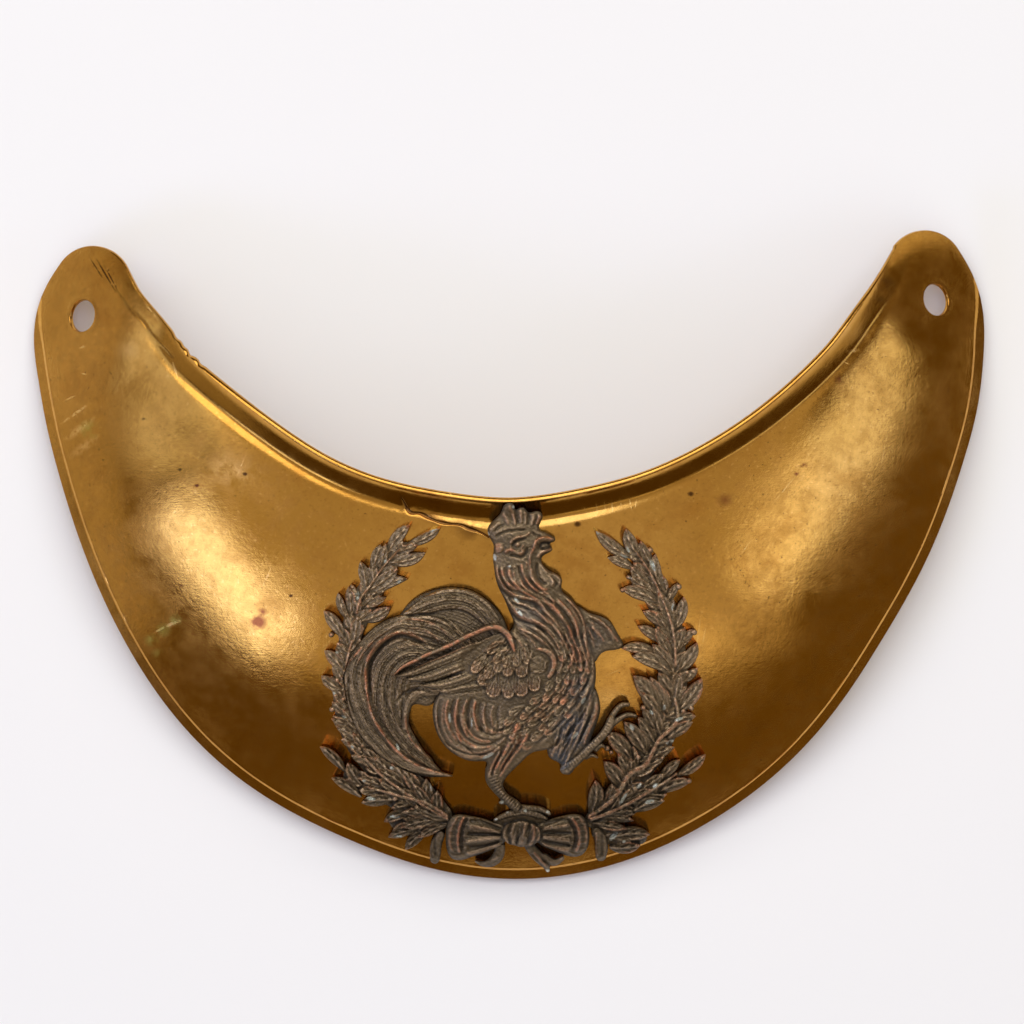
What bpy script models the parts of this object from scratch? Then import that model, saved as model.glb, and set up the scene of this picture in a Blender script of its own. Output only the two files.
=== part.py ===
"""A crescent gorget of domed sheet brass with a cast rooster and laurel emblem.

The plate lies front side up on its bottom edge and the sides of its two horns. +X is to the right as the front is
looked at, +Y points to the neck and +Z out of the front. Lengths are metres.
"""
import math

import bmesh
import bpy
import numpy as np
from mathutils import Matrix, Vector

MM = 0.001

# Plate
SPAN = 150.0 * MM                # over both horns
HEIGHT = 101.3 * MM              # bottom edge to the horn tips
BAND = 60.4 * MM                 # bottom edge to the neck edge, at the middle
WIDEST_HEIGHT = 86.0 * MM        # bottom edge to the widest place, where the horns touch the surface
DOME_RADIUS = 107.0 * MM
SHEET = 0.9 * MM                 # thickness of the brass
LIP_WIDTH = 3.6 * MM             # neck edge, turned up towards the front
LIP_RISE = 2.8 * MM
BORDER_WIDTH = 1.7 * MM          # outer edge, stepped down
BORDER_STEP = 0.3 * MM
BORDER_BEND = 0.5 * MM

# Cord holes in the horns, with a flat round land about each
HOLE_SPACING = 0.896 * SPAN
HOLE_HEIGHT = 0.8904 * HEIGHT    # above the bottom edge
HOLE_DIAMETER = 5.0 * MM
LAND_DIAMETER = 9.4 * MM
LAND_BLEND = 1.5 * MM

# Emblem
EMBLEM_WIDTH = 60.6 * MM
EMBLEM_HEIGHT = 30.1 * MM        # its middle, above the plate's bottom edge
EMBLEM_OFFSET = -0.5 * MM        # its middle, to the right of the plate's
EMBLEM_TURN = math.radians(-1.07)
EMBLEM_GAP = 0.3 * MM            # clearance to the plate
EMBLEM_VOXEL = 0.33 * MM
EMBLEM_DETAIL = 0.077            # share of the fused faces that is kept

# Fixing posts
POST_DIAMETER = 1.6 * MM
POST_CLEARANCE = 0.3 * MM        # round the shank and under the head
POST_HEAD_DIAMETER = 4.2 * MM
POST_HEAD_HEIGHT = 0.8 * MM

# Mesh fineness
STATIONS = 52
CAP_STEPS = 8
HOLE_SIDES = 28
POST_SIDES = 16

# The crescent's centre line and half width. Height and x are shares of HEIGHT and of half the SPAN; half width is
# a share of half the BAND. The left side bulges a little more than the right.
# height, x left, half width left, x right, half width right
CRESCENT = (
    (0.299, 0.000, 1.000, 0.000, 1.000),
    (0.327, 0.200, 0.955, 0.197, 0.957),
    (0.384, 0.388, 0.878, 0.361, 0.864),
    (0.473, 0.540, 0.759, 0.515, 0.733),
    (0.575, 0.656, 0.638, 0.650, 0.615),
    (0.688, 0.758, 0.507, 0.760, 0.498),
    (0.750, 0.805, 0.440, 0.808, 0.440),
    (0.815, 0.843, 0.381, 0.844, 0.380),
    (0.880, 0.876, 0.300, 0.870, 0.305),
    (0.939, 0.875, 0.203, 0.876, 0.203),
)
# Heights, as shares of HEIGHT, between which the lip runs out towards each horn
LIP_FADE_LEFT = (0.74, 0.92)
LIP_FADE_RIGHT = (0.84, 0.98)

# Rings of the plate's mesh: distance in from the edge on the outer side and on the neck side
EDGE_RINGS = (
    (0.0, 0.0),
    (BORDER_WIDTH - BORDER_BEND / 2, LIP_WIDTH / 3),
    (BORDER_WIDTH + BORDER_BEND / 2, LIP_WIDTH * 2 / 3),
    (BORDER_WIDTH * 2, LIP_WIDTH),
)
INNER_RINGS = (0.22, 0.48, 0.74, 1.0)   # shares of the way from the last edge ring to the centre line

# Emblem tables. Every length is in hundredths of EMBLEM_WIDTH, from the emblem's middle.
# Stems: x, y, half width. The first is by the bow, the last is the tip.
LEFT_STEM = ((-17.4, -35.8, 1.2), (-24.1, -30.6, 1.3), (-33.2, -23.3, 1.3), (-42.2, -11.7, 1.2),
             (-45.6, 0.0, 1.2), (-44.3, 13.0, 1.1), (-39.1, 25.9, 1.0), (-31.3, 34.7, 0.9), (-25.0, 38.4, 0.6))
RIGHT_STEM = ((18.9, -35.8, 1.2), (25.6, -30.1, 1.3), (34.2, -20.7, 1.3), (40.0, -9.1, 1.2),
              (40.6, 2.6, 1.2), (39.0, 15.5, 1.1), (35.5, 25.9, 1.0), (29.8, 34.2, 0.9), (26.0, 37.2, 0.6))
LEFT_SPRAY = ((-18.9, -34.7, 1.1), (-28.8, -31.6, 1.1), (-38.1, -26.4, 1.0), (-44.8, -20.2, 0.8),
              (-48.0, -16.8, 0.6))
RIGHT_SPRAY = ((20.5, -34.7, 1.1), (30.3, -30.6, 1.1), (39.4, -25.4, 1.0), (45.0, -20.8, 0.8),
               (47.6, -18.6, 0.6))
# Leaves: share along the stem, angle from the stem (outward is positive), length
LEFT_LEAVES = (
    (0.97, 0, 9.8), (0.92, 22, 9.2), (0.92, -28, 8.8), (0.85, 20, 7.2), (0.79, 42, 7.0), (0.77, -35, 13.0),
    (0.72, 30, 6.8), (0.68, 28, 6.8), (0.66, 50, 7.8), (0.66, -10, 8.0), (0.68, -45, 9.8), (0.55, 45, 6.6),
    (0.58, -30, 8.0), (0.48, 42, 7.0), (0.50, -20, 8.0), (0.38, 45, 6.0), (0.42, 5, 9.0), (0.33, -5, 9.0),
    (0.30, 48, 6.0), (0.24, 10, 8.0), (0.16, -25, 9.0), (0.14, 20, 8.0),
)
RIGHT_LEAVES = (
    (0.95, 0, 8.6), (0.90, 30, 6.6), (0.87, -30, 8.0), (0.80, 30, 8.0), (0.78, -30, 8.0), (0.74, -37, 11.0),
    (0.74, 50, 7.5), (0.68, 42, 8.5), (0.66, -33, 9.0), (0.60, 20, 9.0), (0.60, -60, 12.5), (0.55, 37, 10.0),
    (0.50, -20, 8.0), (0.46, 35, 10.3), (0.45, -50, 11.5), (0.40, 10, 8.0), (0.36, 35, 9.5), (0.30, -70, 9.5),
    (0.28, 0, 8.0), (0.25, 35, 8.5), (0.18, -20, 9.0), (0.13, -75, 9.0), (0.12, 30, 8.0),
)
LEFT_SPRAY_LEAVES = (
    (0.80, 0, 8.0), (0.60, -30, 5.5), (0.62, 30, 6.6), (0.40, 28, 7.5), (0.22, 29, 8.5), (0.08, 30, 12.0),
    (0.00, 60, 8.0), (0.45, -30, 8.0), (0.25, -30, 8.0), (0.02, -54, 8.8),
)
RIGHT_SPRAY_LEAVES = (
    (0.80, 0, 8.0), (0.70, -35, 6.0), (0.62, 35, 7.2), (0.45, 35, 8.0), (0.25, 38, 9.0), (0.12, 35, 12.0),
    (0.00, 60, 9.0), (0.45, -35, 8.0), (0.25, -40, 8.0), (0.00, -44, 8.6),
)
LEAF_HALF_WIDTH = 2.1
LEAF_FULL_LENGTH = 8.0           # shorter leaves are narrower in step
# Rooster and bow: x, y, half width along each form
NECK = ((-0.3, 36.3, 5.2), (2.3, 30.6, 6.7), (4.9, 25.4, 7.8), (8.3, 19.4, 9.1), (10.1, 11.7, 10.4), (10.4, 4.7, 10.6))
HEAD = ((-1.8, 36.8, 3.9), (2.8, 37.6, 3.4))
COMB = (
    ((-2.1, 40.4, 2.6), (-6.0, 41.5, 1.0)),
    ((-1.3, 41.4, 2.8), (-3.1, 46.3, 1.7)),
    ((1.8, 41.4, 2.6), (2.1, 45.3, 1.8)),
    ((3.9, 41.2, 2.3), (6.0, 44.3, 1.3)),
)
UPPER_BEAK = ((4.4, 39.0, 2.2), (8.0, 39.9, 1.3), (10.6, 38.6, 0.4))
LOWER_BEAK = ((5.0, 35.3, 1.7), (9.8, 36.5, 0.5))
WATTLE = ((6.5, 33.7, 2.1), (8.5, 30.3, 2.3), (10.6, 27.7, 1.7))
BODY = ((10.9, 5.7, 10.4), (4.9, -2.1, 11.9), (-2.6, -6.0, 11.9), (-10.1, -7.0, 10.6))
FAR_THIGH = ((15.5, -2.6, 6.5), (15.5, -9.1, 5.4), (13.9, -15.0, 3.4), (13.7, -19.4, 2.1))
NEAR_THIGH = ((1.0, -10.4, 6.2), (-2.8, -16.8, 3.9), (-6.0, -21.5, 1.9))
STANDING_SHANK = ((-6.0, -21.5, 1.9), (-3.4, -25.9, 1.6), (1.8, -30.8, 1.6))
RAISED_SHANK = ((13.7, -19.7, 2.1), (18.9, -15.5, 1.5), (24.4, -10.6, 1.6))
TOES = (
    ((1.8, -30.8, 1.4), (7.8, -32.9, 0.9)),
    ((1.8, -30.8, 1.4), (-3.4, -32.6, 0.9)),
    ((24.4, -10.6, 1.4), (27.2, -5.7, 1.1), (30.0, -3.9, 0.7)),
    ((24.4, -10.6, 1.4), (31.3, -7.3, 0.9)),
    ((17.4, -19.4, 1.1), (22.3, -16.1, 0.8)),
)
FAR_WING = ((19.4, 14.0, 6.0), (24.1, 14.0, 4.4), (27.5, 12.4, 1.8))
WING_EDGE = ((-30.6, 4.4, 0.6), (-24.6, 7.8, 1.3), (-17.6, 11.1, 1.6), (-9.8, 14.5, 1.7), (-2.8, 16.6, 1.8),
             (0.3, 12.4, 1.6))
WING_PAD = ((-8.5, 9.1, 5.2), (-0.8, 7.8, 6.7), (4.9, 6.5, 6.2))
FLIGHT_FEATHER_ROOT = (-1.0, 10.5)
FLIGHT_FEATHER_TIPS = ((-30.0, 4.4), (-27.2, 2.6), (-23.8, 1.3), (-18.7, -0.5), (-14.6, -1.3), (-8.0, 0.0))
FLIGHT_FEATHER_HALF_WIDTH = 1.8
TAIL = (
    ((-11.1, 13.0, 3.1), (-21.5, 14.5, 4.7), (-31.3, 11.9, 6.7), (-35.8, 2.6, 8.0), (-35.2, -5.7, 7.5),
     (-31.9, -14.0, 5.7), (-25.4, -19.2, 2.8), (-19.9, -21.2, 1.3), (-16.1, -22.3, 0.5)),
    ((-4.7, 13.0, 4.7), (-11.7, 19.7, 6.0), (-18.9, 20.7, 5.7), (-25.4, 17.6, 4.4), (-31.3, 13.0, 3.6)),
    ((-13.7, 1.3, 6.7), (-22.0, 2.6, 5.7), (-28.0, 1.3, 4.7)),
)
BOW = (
    ((-13.0, -38.1, 5.0), (-8.0, -38.1, 5.2), (-2.8, -37.8, 3.4)),
    ((7.0, -37.8, 3.4), (12.2, -37.8, 4.7), (14.8, -37.8, 4.4)),
    ((-3.9, -42.0, 2.1), (-6.7, -44.6, 1.3)),
    ((5.7, -41.5, 2.6), (8.8, -45.6, 1.6)),
    ((-19.4, -37.8, 2.1), (-21.2, -43.3, 1.6)),
    ((22.5, -37.3, 2.3), (22.0, -42.5, 1.8)),
)
KNOT = ((0.3, -37.8, 4.1), (3.9, -37.8, 4.1))
# Heights above the emblem's back in the same unit, and how much of a form's half width its crown rises
BASE_LEVEL = 1.3
BODY_LEVEL = 1.6
WING_LEVEL = 4.0
FLAT_CROWN = 0.22
BODY_CROWN = 0.26
FULL_CROWN = 0.55
LEAF_CROWN = 0.50

# Posts: place under the emblem, in the emblem's unit
POSTS = {"post_left": (-43.8, 3.0), "post_right": (41.2, 3.0), "post_top": (5.0, 24.0)}


def smooth(rows, count):
    """Points on the natural cubic curve through the rows, evenly spread by chord length."""
    rows = np.asarray(rows, float)
    knots = np.concatenate(([0.0], np.cumsum(np.linalg.norm(np.diff(rows[:, :2], axis=0), axis=1))))
    width = np.diff(knots)
    slope = np.diff(rows, axis=0) / width[:, None]
    size = len(rows)
    matrix = np.eye(size)
    right = np.zeros_like(rows)
    for i in range(1, size - 1):
        matrix[i, i - 1:i + 2] = width[i - 1], 2 * (width[i - 1] + width[i]), width[i]
        right[i] = 6 * (slope[i] - slope[i - 1])
    bend = np.linalg.solve(matrix, right)
    at = np.linspace(0.0, knots[-1], count)
    cell = np.clip(np.searchsorted(knots, at, side="right") - 1, 0, size - 2)
    step = (at - knots[cell])[:, None]
    span = width[cell][:, None]
    start = slope[cell] - span * (2 * bend[cell] + bend[cell + 1]) / 6
    return rows[cell] + step * (start + step * (bend[cell] / 2 + step * (bend[cell + 1] - bend[cell]) / (6 * span)))


def ease(value, low, high):
    """Smooth step from 0 at low to 1 at high."""
    share = np.clip((value - low) / (high - low), 0.0, 1.0)
    return share * share * (3 - 2 * share)


class Crescent:
    """The plate's outline and its front surface. Heights are measured up from the bottom edge."""

    def __init__(self):
        left = [(-x * SPAN / 2, height * HEIGHT, half * BAND / 2) for height, x, half, _, _ in CRESCENT]
        right = [(x * SPAN / 2, height * HEIGHT, half * BAND / 2) for height, _, _, x, half in CRESCENT]
        self.spine = smooth(left[:0:-1] + right, 600)
        self.outer, self.neck = self.edges(self.spine)
        # The bottom edge and the horns' widest places are equally far from the dome's top, so all three touch down
        self.top = ((SPAN / 2) ** 2 + WIDEST_HEIGHT ** 2) / (2 * WIDEST_HEIGHT)

    def edges(self, spine):
        """Both envelopes of the circles along the spine."""
        run = np.gradient(spine, axis=0)
        length = np.linalg.norm(run[:, :2], axis=1)[:, None]
        along = run[:, :2] / length
        growth = run[:, 2:] / length
        across = np.stack((-along[:, 1], along[:, 0]), axis=1)
        side = np.sqrt(1 - growth ** 2)
        half = spine[:, 2:]
        outer = spine[:, :2] + half * (-growth * along - side * across)
        # The upturned lip shows its thickness past the front surface, which ends that much short of the outline
        lean = math.atan(2 * LIP_RISE / LIP_WIDTH)
        short = SHEET * math.sin(lean) * self.lip_share(spine[:, 0], spine[:, 1])[:, None]
        neck = spine[:, :2] + (half - short) * (-growth * along + side * across)
        return outer, neck

    def lip_share(self, x, y):
        """How fully the lip is turned up, less towards the horns' tips."""
        low = np.where(x < 0, LIP_FADE_LEFT[0], LIP_FADE_RIGHT[0])
        high = np.where(x < 0, LIP_FADE_LEFT[1], LIP_FADE_RIGHT[1])
        return 1 - ease(y / HEIGHT, low, high)

    def distance(self, line, x, y):
        """Distance from each point to a polyline."""
        start, step = line[:-1], np.diff(line, axis=0)
        best = np.full(x.shape, np.inf)
        for (px, py), (dx, dy) in zip(start[::4], step[::4] * 4):
            share = np.clip(((x - px) * dx + (y - py) * dy) / (dx * dx + dy * dy), 0.0, 1.0)
            best = np.minimum(best, np.hypot(x - px - share * dx, y - py - share * dy))
        return best

    def dome(self, x, y):
        return np.sqrt(DOME_RADIUS ** 2 - x ** 2 - (y - self.top) ** 2)

    def upright(self, x, y):
        """The upward part of the dome's unit normal."""
        return self.dome(x, y) / DOME_RADIUS

    def front(self, x, y):
        """Height of the sheet's front surface."""
        height = self.dome(x, y)
        for side in (-1, 1):
            hole_x = side * HOLE_SPACING / 2
            level = self.dome(hole_x, HOLE_HEIGHT)
            flat = level - (hole_x * (x - hole_x) + (HOLE_HEIGHT - self.top) * (y - HOLE_HEIGHT)) / level
            away = np.hypot(x - hole_x, y - HOLE_HEIGHT)
            blend = ease(away, LAND_DIAMETER / 2, LAND_DIAMETER / 2 + LAND_BLEND)
            height = flat + (height - flat) * blend
        lip = np.clip(1 - self.distance(self.neck, x, y) / LIP_WIDTH, 0.0, 1.0)
        height = height + LIP_RISE * lip ** 2 * self.lip_share(x, y)
        strip = self.distance(self.outer, x, y)
        step = ease(strip, BORDER_WIDTH - BORDER_BEND / 2, BORDER_WIDTH + BORDER_BEND / 2)
        return height - BORDER_STEP * (1 - step)

    def stations(self):
        """Spine points spaced along the outer edge, closer where the band is narrow."""
        run = np.linalg.norm(np.diff(self.outer, axis=0), axis=1)
        measure = np.concatenate(([0.0], np.cumsum(run / (self.spine[1:, 2] + BAND / 4))))
        chosen = np.interp(np.linspace(0, measure[-1], STATIONS), measure, np.arange(len(measure)))
        return np.rint(chosen).astype(int)

    def loop(self):
        """The outline as (edge point, centre line point, share of neck side), once round."""
        chosen = self.stations()
        rows = [(self.outer[i], self.spine[i, :2], 0.0) for i in chosen]
        rows += self.cap(-1, self.outer[-1], self.neck[-1], 1)
        rows += [(self.neck[i], self.spine[i, :2], 1.0) for i in chosen[::-1]]
        rows += self.cap(0, self.neck[0], self.outer[0], -1)
        return rows

    def cap(self, end, first, last, direction):
        """Arc round a horn's tip."""
        centre = self.spine[end, :2]
        radius = self.spine[end, 2]
        begin = math.atan2(*(first - centre)[::-1])
        turn = (math.atan2(*(last - centre)[::-1]) - begin) % (2 * math.pi)
        rows = []
        for i in range(1, CAP_STEPS):
            share = i / CAP_STEPS
            angle = begin + turn * share
            edge = centre + radius * np.array((math.cos(angle), math.sin(angle)))
            rows.append((edge, centre, share if direction > 0 else 1 - share))
        return rows


def material(name, colour, roughness):
    made = bpy.data.materials.new(name)
    made.use_nodes = True
    shader = made.node_tree.nodes["Principled BSDF"]
    shader.inputs["Base Color"].default_value = (*colour, 1.0)
    shader.inputs["Roughness"].default_value = roughness
    shader.inputs["Metallic"].default_value = 1.0
    return made


def add_object(name, mesh, collection, root):
    made = bpy.data.objects.new(name, mesh)
    collection.objects.link(made)
    made.parent = root
    return made


def make_plate(crescent, collection, root):
    """The sheet's front surface from rings inside the outline, thickened backwards."""
    rows = crescent.loop()
    edge = np.array([row[0] for row in rows])
    centre = np.array([row[1] for row in rows])
    neck_side = np.array([row[2] for row in rows])[:, None]
    reach = np.linalg.norm(centre - edge, axis=1)[:, None]
    inward = (centre - edge) / reach
    rings = []
    for outer, neck in EDGE_RINGS:
        depth = outer + (neck - outer) * neck_side
        rings.append(edge + inward * depth)
    last = rings[-1]
    for share in INNER_RINGS:
        rings.append(last + (centre - last) * share)
    points = np.concatenate(rings)
    height = crescent.front(points[:, 0], points[:, 1])
    sheet = bmesh.new()
    corners = [sheet.verts.new((x, y, z)) for (x, y), z in zip(points, height)]
    count = len(rows)
    for ring in range(len(rings) - 1):
        for i in range(count):
            j = (i + 1) % count
            quad = (ring * count + i, ring * count + j, (ring + 1) * count + j, (ring + 1) * count + i)
            sheet.faces.new([corners[k] for k in quad])
    bmesh.ops.remove_doubles(sheet, verts=sheet.verts, dist=0.01 * MM)
    bmesh.ops.recalc_face_normals(sheet, faces=sheet.faces)
    if sum(face.normal.z for face in sheet.faces) < 0:
        bmesh.ops.reverse_faces(sheet, faces=sheet.faces)
    mesh = bpy.data.meshes.new("plate")
    sheet.to_mesh(mesh)
    sheet.free()
    mesh.shade_smooth()
    mesh.set_sharp_from_angle(angle=math.radians(40))
    mesh.materials.append(material("brass", (0.46, 0.27, 0.06), 0.3))
    plate = add_object("plate", mesh, collection, root)
    thickness = plate.modifiers.new("sheet", "SOLIDIFY")
    thickness.thickness = SHEET
    thickness.offset = -1.0
    thickness.use_even_offset = True
    return plate


def cut_hole(plate, name, place, axis, diameter, cutters, root):
    """Round hole through the sheet along an axis."""
    bar = bmesh.new()
    bmesh.ops.create_cone(bar, cap_ends=True, segments=HOLE_SIDES, radius1=diameter / 2, radius2=diameter / 2,
                          depth=8 * SHEET)
    mesh = bpy.data.meshes.new(name)
    bar.to_mesh(mesh)
    bar.free()
    cutter = add_object(name, mesh, cutters, root)
    cutter.matrix_local = Matrix.Translation(place) @ axis.to_track_quat("Z", "Y").to_matrix().to_4x4()
    cutter.hide_render = True
    cutter.display_type = "WIRE"
    hole = plate.modifiers.new(name, "BOOLEAN")
    hole.operation = "DIFFERENCE"
    hole.object = cutter


def emblem_place(x, y):
    """Plate coordinates of a place in the emblem's own unit."""
    unit = EMBLEM_WIDTH / 100
    cosine, sine = math.cos(EMBLEM_TURN), math.sin(EMBLEM_TURN)
    return (EMBLEM_OFFSET + unit * (cosine * x - sine * y), EMBLEM_HEIGHT + unit * (sine * x + cosine * y))


def leaf_rows(stem, leaves, outward):
    """Turn each (share, angle, length) into a leaf's x, y, half width along its rib."""
    line = smooth(stem, 101)
    grown = []
    for share, angle, length in leaves:
        at = round(share * 100)
        ahead = line[min(at + 2, 100)] - line[max(at - 2, 0)]
        heading = math.atan2(ahead[1], ahead[0]) + outward * math.radians(angle)
        step = np.array((math.cos(heading), math.sin(heading)))
        rib = [line[at, :2] + step * length * part for part in (0.0, 0.3, 0.6, 0.85, 1.0)]
        widths = (0.45, 0.9, 1.0, 0.55, 0.12)
        half = LEAF_HALF_WIDTH * min(length / LEAF_FULL_LENGTH, 1.0)
        grown.append([(*place, half * width) for place, width in zip(rib, widths)])
    return grown


def round_ended(points):
    """The points with a round cap added at each end."""
    caps = []
    for end, inner in ((0, 1), (-1, -2)):
        outward = points[end, :2] - points[inner, :2]
        outward /= np.linalg.norm(outward)
        half = points[end, 2]
        turns = np.radians((25, 50, 70, 86))
        caps.append([(*(points[end, :2] + outward * half * math.sin(turn)), half * math.cos(turn)) for turn in turns])
    return [*caps[0][::-1], *points, *caps[1]]


def relief(forms, level, crown):
    """Closed solid under a round-backed ridge along each form, flat on its underside."""
    curve = bpy.data.curves.new("relief", "CURVE")
    curve.dimensions = "3D"
    curve.twist_mode = "Z_UP"
    curve.bevel_depth = 1.0
    curve.bevel_resolution = 3
    curve.use_fill_caps = True
    for rows in forms:
        points = round_ended(smooth(rows, 4 * len(rows)))
        spline = curve.splines.new("POLY")
        spline.points.add(len(points) - 1)
        for target, (x, y, half) in zip(spline.points, points):
            target.co = (x, y, 0.0, 1.0)
            target.radius = half
    carrier = bpy.data.objects.new("relief", curve)
    bpy.context.scene.collection.objects.link(carrier)
    evaluated = carrier.evaluated_get(bpy.context.evaluated_depsgraph_get())
    mesh = bpy.data.meshes.new_from_object(evaluated)
    bpy.data.objects.remove(carrier)
    for vertex in mesh.vertices:
        vertex.co.z = max(level + crown * vertex.co.z, 0.0)
    return mesh


def flight_feathers():
    """Long wing feathers fanned from the wrist."""
    forms = []
    root = np.array(FLIGHT_FEATHER_ROOT)
    for tip in FLIGHT_FEATHER_TIPS:
        rib = [root + (np.array(tip) - root) * part for part in (0.0, 0.4, 0.85, 1.0)]
        widths = (0.8, 1.1, 1.0, 0.3)
        forms.append([(*place, FLIGHT_FEATHER_HALF_WIDTH * width) for place, width in zip(rib, widths)])
    return forms


def make_emblem(crescent, collection, root):
    """The casting: every form fused into one solid, then laid over the plate's dome."""
    leaves = leaf_rows(LEFT_STEM, LEFT_LEAVES, 1) + leaf_rows(LEFT_SPRAY, LEFT_SPRAY_LEAVES, 1)
    leaves += leaf_rows(RIGHT_STEM, RIGHT_LEAVES, -1) + leaf_rows(RIGHT_SPRAY, RIGHT_SPRAY_LEAVES, -1)
    groups = (
        (leaves, BASE_LEVEL, LEAF_CROWN),
        ((LEFT_STEM, RIGHT_STEM, LEFT_SPRAY, RIGHT_SPRAY), BASE_LEVEL, FULL_CROWN),
        (TAIL, BASE_LEVEL, FLAT_CROWN),
        ((FAR_WING, FAR_THIGH), BASE_LEVEL, FLAT_CROWN),
        ((BODY, NECK, HEAD, NEAR_THIGH), BODY_LEVEL, BODY_CROWN),
        ((*COMB, UPPER_BEAK, LOWER_BEAK), BODY_LEVEL, FLAT_CROWN),
        ((WATTLE, STANDING_SHANK, RAISED_SHANK, *TOES), BODY_LEVEL, FULL_CROWN),
        ((WING_PAD,), WING_LEVEL, FLAT_CROWN),
        ((WING_EDGE, *flight_feathers()), WING_LEVEL - 1.0, FULL_CROWN),
        (BOW, BASE_LEVEL, BODY_CROWN),
        ((KNOT,), BODY_LEVEL, FULL_CROWN),
    )
    unit = EMBLEM_WIDTH / 100
    fused = bmesh.new()
    for forms, level, crown in groups:
        ridge = relief(forms, level, crown)
        fused.from_mesh(ridge)
        bpy.data.meshes.remove(ridge)
    bmesh.ops.scale(fused, vec=(unit, unit, unit), verts=fused.verts)
    mesh = bpy.data.meshes.new("emblem")
    fused.to_mesh(mesh)
    fused.free()
    mesh.materials.append(material("dark_copper", (0.10, 0.075, 0.055), 0.45))
    emblem = add_object("emblem", mesh, collection, root)
    fuse = emblem.modifiers.new("fuse", "REMESH")
    fuse.mode = "VOXEL"
    fuse.voxel_size = EMBLEM_VOXEL
    evaluated = emblem.evaluated_get(bpy.context.evaluated_depsgraph_get())
    solid = bpy.data.meshes.new_from_object(evaluated)
    emblem.modifiers.remove(fuse)
    flat = np.empty(3 * len(solid.vertices))
    solid.vertices.foreach_get("co", flat)
    flat = flat.reshape(-1, 3)
    x, y = emblem_place(flat[:, 0] / unit, flat[:, 1] / unit)
    lift = (EMBLEM_GAP + flat[:, 2] - flat[:, 2].min()) / crescent.upright(x, y)
    laid = np.stack((x, y, crescent.front(x, y) + lift), axis=1)
    solid.vertices.foreach_set("co", laid.ravel())
    emblem.data = solid
    bpy.data.meshes.remove(mesh)
    solid.name = "emblem"
    thin = emblem.modifiers.new("thin", "DECIMATE")
    thin.ratio = EMBLEM_DETAIL
    thin.use_collapse_triangulate = True
    return emblem


def make_post(name, place, axis, collection, root):
    """Pin from the plate's front through the sheet to a flat head behind it, turned about its own axis."""
    shank = POST_DIAMETER / 2
    head = POST_HEAD_DIAMETER / 2
    shoulder = -(SHEET + POST_CLEARANCE)
    back = shoulder - POST_HEAD_HEIGHT
    profile = bpy.data.meshes.new(name)
    corners = [(0, 0, 0), (shank, 0, 0), (shank, 0, shoulder), (head, 0, shoulder), (head, 0, back), (0, 0, back)]
    profile.from_pydata(corners, [(i, i + 1) for i in range(len(corners) - 1)], [])
    profile.materials.append(material("post_brass", (0.40, 0.26, 0.09), 0.45))
    post = add_object(name, profile, collection, root)
    post.matrix_local = Matrix.Translation(place) @ axis.to_track_quat("Z", "Y").to_matrix().to_4x4()
    turn = post.modifiers.new("turn", "SCREW")
    turn.steps = POST_SIDES
    turn.render_steps = POST_SIDES
    turn.use_merge_vertices = True
    turn.merge_threshold = 0.01 * MM
    return post


def dome_frame(crescent, x, y):
    """A point of the front surface and the dome's outward direction there."""
    place = Vector((x, y, float(crescent.front(np.array(x), np.array(y)))))
    level = float(crescent.dome(x, y))
    return place, Vector((x, y - crescent.top, level)).normalized()


def main():
    for old in list(bpy.data.objects):
        bpy.data.objects.remove(old)
    parts = bpy.data.collections.new("gorget")
    cutters = bpy.data.collections.new("cutters")
    bpy.context.scene.collection.children.link(parts)
    bpy.context.scene.collection.children.link(cutters)
    root = bpy.data.objects.new("gorget", None)
    parts.objects.link(root)

    crescent = Crescent()
    plate = make_plate(crescent, parts, root)
    for side, label in ((-1, "left"), (1, "right")):
        place, axis = dome_frame(crescent, side * HOLE_SPACING / 2, HOLE_HEIGHT)
        cut_hole(plate, f"cord_hole_{label}", place, axis, HOLE_DIAMETER, cutters, root)
    make_emblem(crescent, parts, root)
    for name, (x, y) in POSTS.items():
        place, axis = dome_frame(crescent, *emblem_place(x, y))
        cut_hole(plate, f"{name}_hole", place, axis, POST_DIAMETER + 2 * POST_CLEARANCE, cutters, root)
        make_post(name, place, axis, parts, root)

    # Stand the plate on the surface, centred on the origin
    evaluated = plate.evaluated_get(bpy.context.evaluated_depsgraph_get())
    corners = np.array([evaluated.matrix_world @ Vector(corner) for corner in evaluated.bound_box])
    low, high = corners.min(axis=0), corners.max(axis=0)
    root.location = (-(low[0] + high[0]) / 2, -(low[1] + high[1]) / 2, -low[2])
    bpy.context.view_layer.update()


main()
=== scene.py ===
"""Looks for the brass gorget: the sheet, its cast emblem, their materials, the light and the camera.

Lengths are millimetres until a mesh is made. The emblem's tables are in pixels of the photograph's 1024 frame.
"""
import math
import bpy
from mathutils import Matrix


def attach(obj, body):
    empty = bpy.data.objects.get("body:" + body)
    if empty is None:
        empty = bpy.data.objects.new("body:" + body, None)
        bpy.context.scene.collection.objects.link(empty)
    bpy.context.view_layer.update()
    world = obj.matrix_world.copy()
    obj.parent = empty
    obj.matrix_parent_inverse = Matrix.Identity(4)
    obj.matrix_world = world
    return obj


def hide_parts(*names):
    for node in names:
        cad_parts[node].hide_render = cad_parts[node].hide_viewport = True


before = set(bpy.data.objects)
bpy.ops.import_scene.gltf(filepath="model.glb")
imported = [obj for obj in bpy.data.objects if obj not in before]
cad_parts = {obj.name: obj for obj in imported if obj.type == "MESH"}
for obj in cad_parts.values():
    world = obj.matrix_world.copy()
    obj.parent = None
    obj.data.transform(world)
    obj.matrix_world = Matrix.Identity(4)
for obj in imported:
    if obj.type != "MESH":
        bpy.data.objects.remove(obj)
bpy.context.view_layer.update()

from types import SimpleNamespace

import bmesh
import bpy
import numpy as np
from mathutils import Matrix, Vector

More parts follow.
